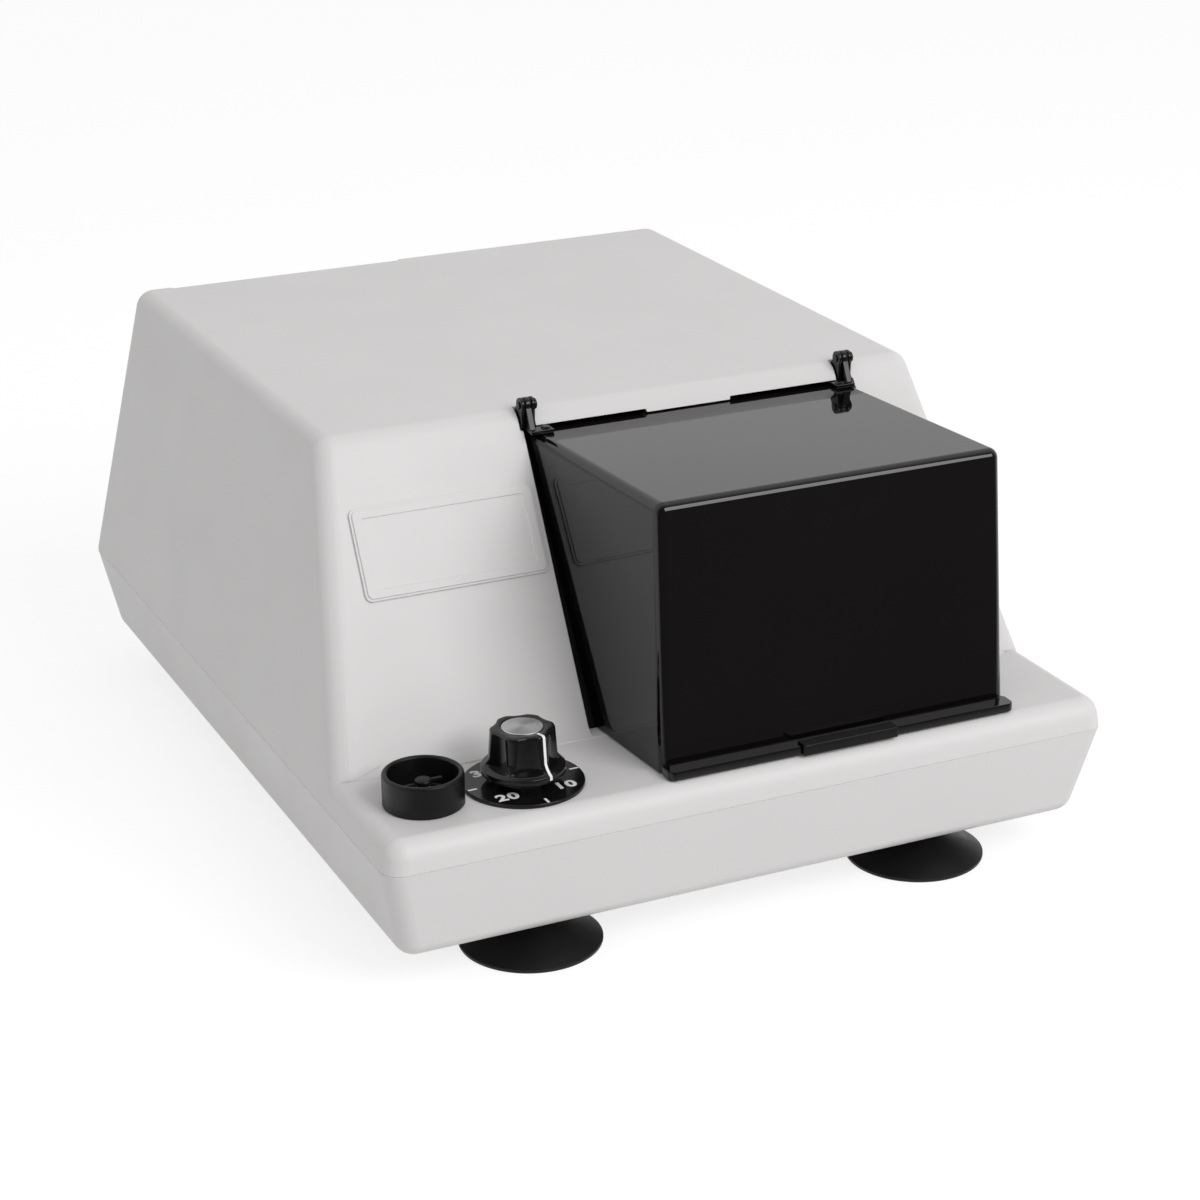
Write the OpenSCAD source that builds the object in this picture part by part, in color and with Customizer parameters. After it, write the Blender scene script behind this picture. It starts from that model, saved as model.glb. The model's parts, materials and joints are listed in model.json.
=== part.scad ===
// Dental amalgamator: a motor shakes a capsule of filling material in a fork, under a hinged hood.
// Millimetres. X runs to the right seen from the front, Y runs to the back, Z runs up.
// The origin is on the bench, under the middle of the housing.

/* [Housing] */
// Width of the housing at its parting line
body_w = 220; // [212:1:240]
// Depth of the housing at its parting line
body_d = 277; // [268:1:300]
// Height of the housing's underside over the bench
foot_h = 11; // [10:0.5:16]
// Height of the lower shell
lower_h = 28; // [26:0.5:36]
// Height of the front deck over the parting line
deck_h = 9; // [8:0.5:14]
// Height of the housing's top over the parting line
upper_h = 90.5; // [88:0.5:104]
// Depth of the deck, from the front to the foot of the sloping face
deck_d = 42.8; // [42:0.2:46]
// Distance from the front to the top's front edge
top_front_d = 88.5; // [84:0.5:96]
// How far each side leans in at the top
side_in = 16.6; // [10:0.2:20]
// How far the back leans in at the top
back_in = 13.8; // [8:0.2:16]
// How far the lower shell's sides lean in at the bottom
base_side_in = 5.7; // [2:0.1:8]
// How far the lower shell's front and back lean in at the bottom
base_end_in = 6; // [2:0.1:8]
// Radius of the housing's rounded edges
edge_r = 6; // [5:0.5:8]
// Wall thickness of both shells
wall = 3; // [2.5:0.1:4]
// Radius of the hollow where the deck meets the sloping face
junction_r = 5; // [2:0.5:8]

/* [Chamber opening] */
// Distance of the hood's middle from the housing's middle
open_x = 26.8; // [22:0.1:28]
// Distance of the opening's left edge from the hood's middle
open_reach = 59.7; // [59:0.1:61.5]
// Gap between the hood's right side and the opening's right edge
open_gap = 1; // [0.6:0.1:3]
// Height of the rim over the opening
header_h = 4.7; // [4.4:0.1:5]
// Width of the tab that hangs from that rim
tab_w = 27; // [16:1:40]
// Distance of the tab's middle from the hood's middle
tab_dx = -7.8; // [-12:0.2:12]

/* [Hood] */
// Width of the hood's front at the deck
hood_w = 108.1; // [106:0.1:109]
// How far each side of the hood leans in at the top
hood_side_in = 1.25; // [0.5:0.05:3]
// How far the hood's sides run to the left for each millimetre towards the back
hood_skew = 0.0822; // [0:0.0002:0.09]
// How far each of the hood's sides closes in for each millimetre towards the back
hood_taper = 0.0122; // [0:0.0002:0.03]
// How far the hood's front leans in at the top
hood_front_in = 4.6; // [1:0.1:8]
// Distance of the hood's top below the housing's top
hood_drop = 5.9; // [5.7:0.1:6.5]
// Distance of the hood's lip from the housing's front
lip_front = 3.8; // [2:0.1:5]
// How far the lip stands out from the hood's front
lip_out = 4.8; // [3:0.1:7]
// Thickness of the lip
lip_t = 2.5; // [2:0.1:3]
// Wall thickness of the hood
hood_wall = 2.2; // [1.8:0.1:2.6]
// Radius of the hood's rounded edges
hood_r = 3; // [2.6:0.1:4]
// Width of the finger tab
tab_grip_w = 29.5; // [20:0.5:40]

/* [Hood hinges] */
// Distance of the left hinge from the hood's middle
hinge_left_dx = -58.2; // [-58.8:0.1:-58]
// Distance of the right hinge from the hood's middle
hinge_right_dx = 43.5; // [40:0.1:43.6]
// Radius of the hinge knuckles
knuckle_r = 2.2; // [2.1:0.1:2.4]
// Radius of the hinge pins
hinge_pin_r = 1; // [0.8:0.05:1.1]
// Thickness of the hood's lug between the ears
lug_t = 1.8; // [1.6:0.1:2]
// Thickness of each bracket ear
ear_t = 1; // [0.8:0.1:1.1]

/* [Timer] */
// Distance of the timer from the start button
timer_dx = 28.7; // [28.2:0.1:31]
// Distance of the timer and of the start button from the front
control_d = 21.8; // [20.5:0.1:23]
// Radius of the dial
dial_r = 16.6; // [14:0.1:17]
// Thickness of the dial
dial_t = 1; // [0.6:0.1:1.4]
// Radius of the timer knob
knob_r = 9.2; // [8.6:0.1:10.5]
// Height of the knob's top over the dial
knob_h = 15.4; // [14:0.1:18]
// Radius of the knob's skirt
skirt_r = 11.5; // [10:0.1:12.5]
// Number of flutes round the knob
flute_n = 6; // [5:1:14]
// Radius of the knob's metal cap
cap_r = 5.7; // [4:0.1:6]
// Radius of the timer's control body
control_r = 11; // [9:0.5:12]

/* [Start button] */
// Distance of the start button from the housing's left side at the deck
start_in = 17.35; // [16.5:0.05:18]
// Outer radius of the guard collar
collar_r = 11; // [9:0.1:11.4]
// Wall thickness of the guard collar
collar_wall = 1.6; // [1.2:0.1:2]
// Height of the guard collar over the deck
collar_h = 9.2; // [8.6:0.1:11]
// Radius of the button's head
button_r = 2.4; // [2.1:0.1:3]
// Height of the button's top over the deck
button_h = 7.4; // [7.2:0.1:8.4]
// Travel of the start button
button_travel = 2; // [1:0.1:2.1]

/* [Label plate] */
// Distance of the bare label plate from the housing's left side
plate_side = 9.8; // [8:0.2:14]
// Distance of the plate from the opening
plate_gap = 1.7; // [1.5:0.1:6]
// Height of the plate's middle over the bench
plate_z = 100; // [90:0.5:104]
// Height of the plate along the sloping face
plate_h = 26; // [18:0.5:30]

/* [Feet] */
// Radius of the suction cups
cup_r = 20; // [16:0.5:22]
// Distance of each foot from the housing's side at the parting line
foot_side = 49.2; // [46:0.2:55]
// Distance of each foot from the housing's front or back
foot_in = 22.7; // [22.5:0.1:24]

/* [Shaker drive] */
// Height of the motor shaft over the bench
shaft_z = 78; // [77:0.5:80]
// Radius of the motor
motor_r = 32; // [30:0.5:33]
// Length of the motor's tube
motor_l = 70; // [64:1:72]
// Gap between the motor and the sloping face's inner side
motor_gap = 4; // [3:0.2:5]
// Radius of the motor shaft
shaft_r = 4; // [3.5:0.1:4.2]
// Tilt of the bearing on the oblique bush
bush_tilt = 7; // [4:0.5:8]
// Distance of the shaker arm from the hood's middle
arm_dx = -1.8; // [-3:0.1:0]
// Distance from the shaft to the middle of the capsule
arm_l = 70; // [68:0.5:72]
// Clear distance between the fork's cups, for a capsule
capsule_gap = 38; // [34:0.5:40]

/* [Back panel] */
// Distance of the back recess from the housing's left side at the top
recess_side = 11.4; // [8:0.2:13]
// Width of the back recess
recess_w = 79; // [78:0.5:84]
// Depth of the back recess at the housing's top
recess_d = 5.2; // [5:0.1:7]
// Width of the power inlet's flange
inlet_w = 48; // [46:0.5:50]
// Height of the power inlet's flange
inlet_h = 44; // [42:0.5:46]
// Distance of the inlet from the recess's middle
inlet_dx = -12; // [-13:0.5:-11]
// Distance of the mains switch from the recess's middle
rocker_dx = 26; // [25:0.5:27]

/* [Hidden] */
$fn = 48;

// Clearances that several pieces share
fit = 0.05;
slip = 0.3;

// Heights and depths of the housing
part_z = foot_h + lower_h;
deck_z = part_z + deck_h;
top_z = part_z + upper_h;
front_y = -body_d / 2;
back_y = body_d / 2;
floor_z = foot_h + wall;
below = 20;

// Leaning faces, as the sideways step for each millimetre of height
slope_y0 = front_y + deck_d;
slope_y1 = front_y + top_front_d;
slope_t = (slope_y1 - slope_y0) / (top_z - deck_z);
slope_a = atan(slope_t);
side_t = side_in / upper_h;
back_t = back_in / upper_h;
base_side_t = base_side_in / lower_h;
base_end_t = base_end_in / lower_h;
deck_front_t = 0.05;

function sec(t) = sqrt(1 + t * t);
function slope_y(z) = slope_y0 + (z - deck_z) * slope_t;
function side_x(z) = body_w / 2 - (z - part_z) * side_t;
function rear_y(z) = back_y - (z - part_z) * back_t;
function base_x(z) = body_w / 2 - (part_z - z) * base_side_t;
function base_y(z) = back_y - (part_z - z) * base_end_t;

// Chamber opening and hood
open_top = top_z - header_h;
hood_top = top_z - hood_drop;
hood_low = deck_z + slip;
hood_y0 = front_y + lip_front + lip_out;
hood_rise = hood_top - deck_z;
hood_side_t = hood_side_in / hood_rise;
hood_front_t = hood_front_in / hood_rise;
function hood_x(z) = hood_w / 2 - (z - deck_z) * hood_side_t;
function hood_y(z) = hood_y0 + (z - deck_z) * hood_front_t;
function hood_shift(y) = (hood_y0 - y) * hood_skew;
function hood_close(y) = (y - hood_y0) * hood_taper;
function hood_side(sx, z) =
    open_x + sx * (hood_x(z) - hood_close(slope_y(z))) + hood_shift(slope_y(z));
open_left = open_x - open_reach;
function open_right(z) = hood_side(1, z) + open_gap;
open_mid = (open_left + open_right(deck_z)) / 2;
open_half = (open_right(deck_z) - open_left) / 2;
tab_gap = 0.35;

// Bare plate on the sloping face, between the housing's side and the opening
plate_x0 = plate_side - side_x(plate_z);
plate_x1 = open_left - plate_gap;
plate_x = (plate_x0 + plate_x1) / 2;
plate_w = plate_x1 - plate_x0;
foot_x = body_w / 2 - foot_side;

// Hinge line of the hood
pin_y = slope_y1 - 1.2;
pin_z = top_z + 1.5;
hinge_dx = [hinge_left_dx, hinge_right_dx];
ear_x = lug_t / 2 + 0.2;
hinge_half = ear_x + ear_t;
leaf_z = hood_top + fit;
leaf_t = 1.2;
leaf_y1 = slope_y(leaf_z) - slip;
leaf_y0 = leaf_y1 - 3.8;
bracket_z = top_z - wall - 0.2;
rivet_y = leaf_y0 + 1.9;
rivet_in = 1.9;
lug_y0 = leaf_y1 - 2.4;

// Controls on the deck
control_y = front_y + control_d;
start_x = start_in - side_x(deck_z);
timer_x = start_x + timer_dx;
dial_top = deck_z + dial_t;
thread_r = 3.5;
timer_shaft_r = 3;
start_thread_r = 2.6;
button_stem_r = 1.5;
collar_floor = 1.2;

// Shaker drive
shaft_y = slope_y(shaft_z) + (motor_r + wall + motor_gap) / cos(slope_a);
hub_x = open_x + arm_dx;
hub_half = 6;
hub_r = 19;
bear_out_r = 14;
bear_in_r = 6.5;
bear_half = 4;
ball_r = 2.2;
ball_n = 8;
ball_pitch = (bear_out_r + bear_in_r) / 2;
cap_t = 4;
motor_x1 = hub_x - 23;
motor_x0 = motor_x1 - motor_l;
can_t = 2.5;
magnet_t = 6;
air_gap = 1;
brush_room = 24;
core_end = 8;
fan_w = 7;
fan_gap = 10;

// Chassis
chassis_z = floor_z + 3;
chassis_t = 1.5;
chassis_top = chassis_z + chassis_t;
chassis_y0 = front_y + 50.5;
chassis_y1 = back_y - 40.5;
chassis_in = 12;
chassis_end = 8;

// Back panel
recess_x = recess_side + recess_w / 2 - side_x(top_z);
recess_y = rear_y(top_z) - recess_d;
recess_z0 = part_z + 13;
panel_in = recess_y - wall;
inlet_x = recess_x + inlet_dx;
inlet_z = recess_z0 + 8 + inlet_h / 2;
rocker_x = recess_x + rocker_dx;
rocker_z = inlet_z;

shell_white = [0.87, 0.86, 0.84];
gloss_black = [0.05, 0.05, 0.055];
matt_black = [0.1, 0.1, 0.105];
steel = [0.66, 0.67, 0.69];
zinc = [0.74, 0.73, 0.68];
brass = [0.78, 0.64, 0.33];

// A bar with a straight outline in Y and Z, centred on x
module slab_x(x, half, outline) {
    translate([x - half, 0, 0])
        rotate([90, 0, 90])
            linear_extrude(2 * half) polygon(outline);
}

// A round bar along X that starts at x
module rod_x(x, y, z, r, l) {
    translate([x, y, z]) rotate([0, 90, 0]) cylinder(r = r, h = l);
}

// A rounded rectangle, standing on the XY plane and centred
module round_block(w, d, h, r) {
    linear_extrude(h) {
        square([w - 2 * r, d], center = true);
        square([w, d - 2 * r], center = true);
        for (sx = [-1, 1], sy = [-1, 1])
            translate([sx * (w / 2 - r), sy * (d / 2 - r)]) circle(r);
    }
}

// A ring standing on the XY plane
module ring(r_out, r_in, h) {
    difference() {
        cylinder(r = r_out, h = h);
        translate([0, 0, -1]) cylinder(r = r_in, h = h + 2);
    }
}

// A hexagon nut standing on the XY plane
module hex_nut(flats, r_in, h) {
    difference() {
        cylinder(r = flats / sqrt(3), h = h, $fn = 6);
        translate([0, 0, -1]) cylinder(r = r_in, h = h + 2);
    }
}

// Puts its children on the sloping face, with their Z outward and their Y up the face
module on_slope(x, z) {
    translate([x, slope_y(z), z]) rotate([90 - slope_a, 0, 0]) children();
}

// Puts its children on the motor shaft's line, with their Z along X
module on_shaft(x) {
    translate([x, shaft_y, shaft_z]) rotate([0, 90, 0]) children();
}

// Puts its children in the arm's frame: its X lies along the oblique bush
module on_arm() {
    translate([hub_x, shaft_y, shaft_z]) rotate([0, -bush_tilt, 0]) children();
}

// Places one child at each mirrored corner position
module at_corners(x, y0, y1) {
    for (sx = [-1, 1], y = [y0, y1]) translate([sx * x, y, 0]) children();
}

// A helical spring round Z, standing on the XY plane
module coil(r, wire, turns, h) {
    sides = 6;
    steps = 10 * turns;
    rise = h - wire;
    points = [
        for (i = [0:steps], j = [0:sides - 1])
            let (a = 360 * turns * i / steps, b = 360 * j / sides)
            let (q = r + wire / 2 * cos(b))
            [q * cos(a), q * sin(a), wire / 2 + rise * i / steps + wire / 2 * sin(b)]
    ];
    skin = [
        for (i = [0:steps - 1], j = [0:sides - 1], k = [0:1])
            let (a = i * sides + j, b = i * sides + (j + 1) % sides)
            k == 0 ? [a, b, b + sides] : [a, b + sides, a + sides]
    ];
    first = [for (j = [1:sides - 2]) [0, j + 1, j]];
    n = steps * sides;
    last = [for (j = [1:sides - 2]) [n, n + j, n + j + 1]];
    polyhedron(points = points, faces = concat(skin, first, last), convexity = 10);
}

// Rounded form of the housing behind its sloping face, shrunk by inset
module main_form(inset) {
    hull()
        for (z = [part_z - below, top_z - edge_r], sx = [-1, 1], back = [0, 1]) {
            x = side_x(z) - edge_r * sec(side_t);
            y = back == 1 ? rear_y(z) - edge_r * sec(back_t) : slope_y(z) + edge_r * sec(slope_t);
            translate([sx * x, y, z]) sphere(r = edge_r - inset, $fn = 32);
        }
}

// Rounded form of the front deck, shrunk by inset
module deck_form(inset) {
    hull()
        for (z = [part_z - below, deck_z - edge_r], sx = [-1, 1], back = [0, 1]) {
            x = side_x(z) - edge_r * sec(side_t);
            y = back == 1 ? slope_y(top_z) : front_y + (z - part_z) * deck_front_t + edge_r;
            translate([sx * x, y, z]) sphere(r = edge_r - inset, $fn = 32);
        }
}

// Rounded form of the lower shell, shrunk by inset, running on above the parting line
module base_form(inset) {
    hull()
        for (z = [foot_h + edge_r, part_z + below], sx = [-1, 1], sy = [-1, 1]) {
            x = base_x(z) - edge_r * sec(base_side_t);
            y = base_y(z) - edge_r * sec(base_end_t);
            translate([sx * x, sy * y, z]) sphere(r = edge_r - inset, $fn = 32);
        }
}

// Everything above or below the parting line
module above_part() {
    translate([-body_w, -body_d, part_z]) cube([2 * body_w, 2 * body_d, 2 * upper_h]);
}
module below_part() {
    translate([-body_w, -body_d, -below]) cube([2 * body_w, 2 * body_d, part_z + below]);
}

// Hollow fillet between the deck and the sloping face, whose ends run out into the corner
module junction_fillet() {
    turn = 90 - slope_a;
    reach = junction_r * tan(turn / 2);
    run_out = 8;
    half = side_x(deck_z) - edge_r * sec(side_t) - run_out;
    hollow = [
        for (i = [0:8])
            let (a = turn * i / 8)
            [junction_r * sin(a) - reach, junction_r * (1 - cos(a))]
    ];
    outline = concat(hollow, [[hollow[8][0] + 1, hollow[8][1]], [1, -1], [-reach, -1]]);
    translate([0, slope_y0, deck_z])
        for (sx = [0, 1]) mirror([sx, 0, 0]) rotate([90, 0, 90]) {
            linear_extrude(half) polygon(outline);
            translate([0, 0, half]) linear_extrude(run_out, scale = 0.02) polygon(outline);
        }
}

// What the chamber opening takes out of the sloping wall, leaving the tab under the rim
module opening_cut() {
    deep = wall + 6;
    tab_z = hood_top + tab_gap;
    tab_x0 = open_x + tab_dx - tab_w / 2;
    intersection() {
        translate([0, body_d, 0])
            rotate([90, 0, 0])
                linear_extrude(2 * body_d)
                    polygon([
                        [open_left, deck_z],
                        [open_right(deck_z), deck_z],
                        [open_right(open_top), open_top],
                        [tab_x0 + tab_w, open_top],
                        [tab_x0 + tab_w, tab_z],
                        [tab_x0, tab_z],
                        [tab_x0, open_top],
                        [open_left, open_top]
                    ]);
        slab_x(open_x, body_w, [
            [slope_y(deck_z) - 20, deck_z - 1],
            [slope_y(deck_z) + deep, deck_z - 1],
            [slope_y(top_z) + deep, top_z],
            [slope_y(top_z) - 12, top_z]
        ]);
    }
}

// Slots that let the hinge ears out over the rim
module hinge_notches() {
    y0 = slope_y(open_top) - 8;
    for (dx = hinge_dx)
        translate([open_x + dx - hinge_half - slip, y0, hood_top + tab_gap])
            cube([2 * (hinge_half + slip), pin_y + 4.5 - y0, header_h + 4]);
}

// Positions shared by the screws and bosses that join the two shells
screw_x = body_w / 2 - 12.5;
screw_y0 = slope_y0 + 17.7;
screw_y1 = back_y - 26.5;
screw_boss_r = 4.5;
screw_r = 1.7;
screw_seat = foot_h + 19;
upper_boss_h = 13;
lower_boss_r = screw_boss_r + 1.4;
chassis_x = screw_x - lower_boss_r - 2 * slip;

module upper_bosses() {
    at_corners(screw_x, screw_y0, screw_y1)
        translate([0, 0, part_z]) cylinder(r = screw_boss_r, h = upper_boss_h);
    for (sx = [-1, 1], y = [screw_y0, screw_y1]) {
        l = side_x(part_z + upper_boss_h) - wall / 2 - screw_x;
        translate([sx > 0 ? screw_x : -screw_x - l, y - 1.5, part_z]) cube([l, 3, upper_boss_h]);
    }
}

module recess_block(grow) {
    translate([recess_x - recess_w / 2 - grow, recess_y - grow, recess_z0 - grow])
        cube([recess_w + 2 * grow, back_y, top_z]);
}

module upper_shell() {
    color(shell_white) {
        difference() {
            union() {
                intersection() {
                    union() {
                        main_form(0);
                        deck_form(0);
                    }
                    above_part();
                }
                junction_fillet();
            }
            difference() {
                union() {
                    main_form(wall);
                    deck_form(wall);
                }
                recess_block(wall);
                upper_bosses();
            }
            recess_block(0);
            opening_cut();
            hinge_notches();
            at_corners(screw_x, screw_y0, screw_y1)
                translate([0, 0, part_z - 1]) cylinder(r = screw_r + fit / 2, h = upper_boss_h - 1);
            translate([timer_x, control_y, deck_z - wall - 1]) cylinder(r = thread_r + 0.1, h = wall + 2);
            translate([start_x, control_y, deck_z - wall - 1])
                cylinder(r = start_thread_r + 0.1, h = wall + 2);
            liner_spots() translate([0, 0, -wall - 1]) cylinder(r = 1.3, h = wall - 0.2);
            translate([inlet_x, panel_in - 1, inlet_z]) inlet_cutout(0.2, wall + 2);
            translate([rocker_x, panel_in - 1, rocker_z]) rocker_cutout(0.1, wall + 2);
        }
        for (dx = hinge_dx) {
            translate([open_x + dx, pin_y + 10.5, bracket_z - 2.2]) cylinder(r = 1.5, h = 3.4);
            translate([open_x + dx, pin_y + 10.5, bracket_z - 2.5]) cylinder(r = 2.4, h = 0.85);
        }
    }
}

// What the inlet and the switch take out of the back panel, grown by gap
module inlet_cutout(gap, l) {
    translate([-inlet_w / 2 + 9 - gap, 0, -inlet_h / 2 + 3 - gap])
        cube([inlet_w - 18 + 2 * gap, l, inlet_h - 6 + 2 * gap]);
}
module rocker_cutout(gap, l) {
    translate([-6.4 - gap, 0, -9.6 - gap]) cube([12.8 + 2 * gap, l, 19.2 + 2 * gap]);
}

module lower_bosses() {
    at_corners(screw_x, screw_y0, screw_y1)
        translate([0, 0, foot_h + 1]) cylinder(r = lower_boss_r, h = lower_h - 1);
    at_corners(chassis_x - chassis_in, chassis_y0 + chassis_end, chassis_y1 - chassis_end)
        translate([0, 0, foot_h + 1]) cylinder(r = 4.5, h = chassis_z - foot_h - 1);
}

// Upright rim that keys the two shells together
module tongue() {
    key = 3;
    w = 2 * (side_x(part_z + key) - wall * sec(side_t) - 0.2);
    d = 2 * (rear_y(part_z + key) - wall * sec(back_t) - 0.3);
    difference() {
        union() {
            translate([0, 0, part_z - 1]) round_block(w, d, key + 1, edge_r - wall);
            translate([0, 0, part_z - 7]) round_block(w + 2, d + 2, 6, edge_r - wall);
        }
        translate([0, 0, part_z - 8]) round_block(w - 3, d - 3, key + 10, edge_r - wall);
        for (y = [screw_y0, screw_y1])
            translate([-body_w, y - 5, part_z]) cube([2 * body_w, 10, 2 * key]);
    }
}

module lower_shell() {
    color(shell_white)
        difference() {
            union() {
                difference() {
                    intersection() {
                        base_form(0);
                        below_part();
                    }
                    base_form(wall);
                }
                intersection() {
                    lower_bosses();
                    base_form(wall / 2);
                }
                tongue();
            }
            at_corners(screw_x, screw_y0, screw_y1) {
                translate([0, 0, foot_h - 1]) cylinder(r = 3.5, h = screw_seat - foot_h + 1);
                translate([0, 0, foot_h - 1]) cylinder(r = screw_r + 0.2, h = lower_h + 4);
            }
            at_corners(chassis_x - chassis_in, chassis_y0 + chassis_end, chassis_y1 - chassis_end)
                translate([0, 0, foot_h + 1.5]) cylinder(r = 1.4 + fit, h = chassis_z - foot_h);
            at_corners(foot_x, front_y + foot_in, back_y - foot_in)
                translate([0, 0, foot_h - 1]) cylinder(r = 2.5 + fit, h = wall + 2);
        }
}

module label_plate() {
    t = 1.2;
    rim = 3;
    color(shell_white)
        on_slope(plate_x, plate_z)
            difference() {
                union() {
                    translate([0, 0, fit]) round_block(plate_w, plate_h, t - 0.5, 2);
                    translate([0, 0, t - 0.5 + fit]) round_block(plate_w - 1.4, plate_h - 1.4, 0.5, 1.5);
                }
                translate([0, 0, t - 0.3]) round_block(plate_w - 2 * rim, plate_h - 2 * rim, 1, 1);
            }
}

liner_z0 = deck_z - 3.5;
liner_z1 = top_z - 8;
liner_t = 2;
window_w = 52;
window_h = 40;

// Spots where the liner is screwed to the inner side of the sloping wall
module liner_spots() {
    for (sx = [-1, 1], z = [deck_z + 12, top_z - 13])
        on_slope(open_mid + sx * (open_half + 3), z) children();
}

module chamber_liner() {
    mid_z = (liner_z0 + liner_z1) / 2;
    h = (liner_z1 - liner_z0) / cos(slope_a);
    color(matt_black)
        difference() {
            on_slope(open_mid, mid_z)
                translate([0, 0, -wall - fit - liner_t]) round_block(2 * open_half + 11, h, liner_t, 3);
            on_slope(hub_x, shaft_z)
                translate([0, 0, -wall - liner_t - 1]) round_block(window_w, window_h, liner_t + 2, 8);
            liner_spots() translate([0, 0, -wall - liner_t - 1]) cylinder(r = 1.4, h = liner_t + 2);
        }
}

module timer_dial() {
    color(gloss_black)
        translate([timer_x, control_y, deck_z])
            difference() {
                union() {
                    cylinder(r = dial_r, h = dial_t - 0.3);
                    translate([0, 0, dial_t - 0.3]) cylinder(r1 = dial_r, r2 = dial_r - 0.3, h = 0.3);
                }
                translate([0, 0, -1]) cylinder(r = thread_r + 0.1, h = dial_t + 2);
            }
}

module timer_control() {
    body_h = 9;
    color([0.25, 0.3, 0.28])
        translate([timer_x, control_y, deck_z - wall - fit])
            difference() {
                union() {
                    translate([0, 0, -body_h]) cylinder(r = control_r, h = body_h);
                    translate([0, 0, -1]) cylinder(r = thread_r, h = wall + dial_t + 3.4);
                    translate([-control_r + 1, -7, -body_h]) cube([control_r, 14, 2]);
                    for (x = [-5, 0, 5]) translate([x - 1, control_r - 1, -body_h + 1]) cube([2, 6, 0.8]);
                }
                translate([0, 0, -body_h + 2]) cylinder(r = timer_shaft_r + fit, h = body_h + wall + 10);
            }
}

module timer_nut() {
    color(zinc)
        translate([timer_x, control_y, dial_top]) {
            ring(5.8, thread_r + fit, 0.5);
            translate([0, 0, 0.5]) hex_nut(10, thread_r + fit, 2);
        }
}

module timer_shaft() {
    z0 = deck_z - wall - 6;
    color(zinc)
        translate([timer_x, control_y, z0]) cylinder(r = timer_shaft_r, h = dial_top + knob_h - 3 - z0);
}

// The knob stands clear of the nut; a flare joins its body to the skirt's rim
knob_gap = 2.7;
knob_z = dial_top + knob_gap;
skirt_t = 2;
flare_top = skirt_t + 2.2;
flute_r = 10;
flute_d = 1.3;
pointer_a = -73;

module timer_knob() {
    body_h = knob_h - knob_gap;
    color(gloss_black)
        translate([timer_x, control_y, knob_z])
            difference() {
                union() {
                    cylinder(r1 = knob_r + 0.3, r2 = knob_r - 0.4, h = body_h - 0.6);
                    translate([0, 0, body_h - 0.6]) cylinder(r1 = knob_r - 0.4, r2 = knob_r - 1, h = 0.6);
                    cylinder(r = skirt_r, h = skirt_t);
                    translate([0, 0, skirt_t]) cylinder(r1 = skirt_r, r2 = knob_r, h = flare_top - skirt_t);
                }
                for (i = [0:flute_n - 1])
                    rotate(pointer_a + 180 / flute_n + 360 * i / flute_n)
                        translate([knob_r - flute_d + flute_r, 0, skirt_t + 0.6])
                            cylinder(r = flute_r, h = knob_h);
                translate([0, 0, -1]) cylinder(r = 6.6, h = 4.2);
                translate([0, 0, -1]) cylinder(r = timer_shaft_r, h = knob_h - 3 - knob_gap + 1);
                translate([0, 0, body_h - 0.4]) cylinder(r = cap_r + fit, h = 1);
            }
}

module knob_cap() {
    color([0.8, 0.8, 0.8])
        translate([timer_x, control_y, dial_top + knob_h - 0.4]) cylinder(r = cap_r, h = 0.6);
}

// A painted line from the cap over the knob's side to its skirt's rim
module knob_pointer() {
    body_h = knob_h - knob_gap;
    d = 0.3;
    color("white")
        translate([timer_x, control_y, knob_z])
            rotate([90, 0, pointer_a])
                translate([0, 0, -0.5])
                    linear_extrude(1)
                        polygon([
                            [cap_r + 0.2, body_h], [knob_r - 1, body_h], [knob_r - 0.4, body_h - 0.6],
                            [knob_r + 0.2, flare_top], [skirt_r, skirt_t], [skirt_r, skirt_t - 1.2],
                            [skirt_r + d, skirt_t - 1.2], [skirt_r + d, skirt_t + d / 2],
                            [knob_r + 0.2 + d, flare_top + d / 2],
                            [knob_r - 0.4 + d, body_h - 0.6 + d / 2], [knob_r - 1 + d / 2, body_h + d],
                            [cap_r + 0.2, body_h + d]
                        ]);
}

module start_collar() {
    color(matt_black)
        translate([start_x, control_y, deck_z])
            difference() {
                union() {
                    cylinder(r = collar_r, h = collar_h - 0.4);
                    translate([0, 0, collar_h - 0.4]) cylinder(r1 = collar_r, r2 = collar_r - 0.4, h = 0.4);
                }
                translate([0, 0, collar_floor]) cylinder(r = collar_r - collar_wall, h = collar_h);
                translate([0, 0, -1]) cylinder(r = start_thread_r + 0.1, h = collar_floor + 2);
            }
}

start_body_h = 14;
start_body_w = 13;
start_thread_top = deck_z + collar_floor + 2.2;

module start_switch() {
    color([0.16, 0.16, 0.17])
        translate([start_x, control_y, 0])
            difference() {
                union() {
                    translate([0, 0, deck_z - wall - start_body_h])
                        round_block(start_body_w, start_body_w, start_body_h - fit, 1);
                    translate([0, 0, deck_z - wall - 1])
                        cylinder(r = start_thread_r, h = start_thread_top - deck_z + wall + 1);
                    for (y = [-3.5, 3.5])
                        translate([-1.2, y - 0.4, deck_z - wall - start_body_h - 5]) cube([2.4, 0.8, 6]);
                }
                translate([0, 0, deck_z - wall - start_body_h + 1.5])
                    cylinder(r = 3.4, h = start_body_h - 4);
                translate([0, 0, deck_z - wall - start_body_h + 2])
                    cylinder(r = button_stem_r + fit, h = 3 * start_body_h);
            }
}

module start_nut() {
    color(zinc)
        translate([start_x, control_y, deck_z + collar_floor]) hex_nut(8, start_thread_r + fit, 1.8);
}

start_foot_z = deck_z - wall - 3.5 - fit;
start_well_z = deck_z - wall - start_body_h + 1.5;

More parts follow.
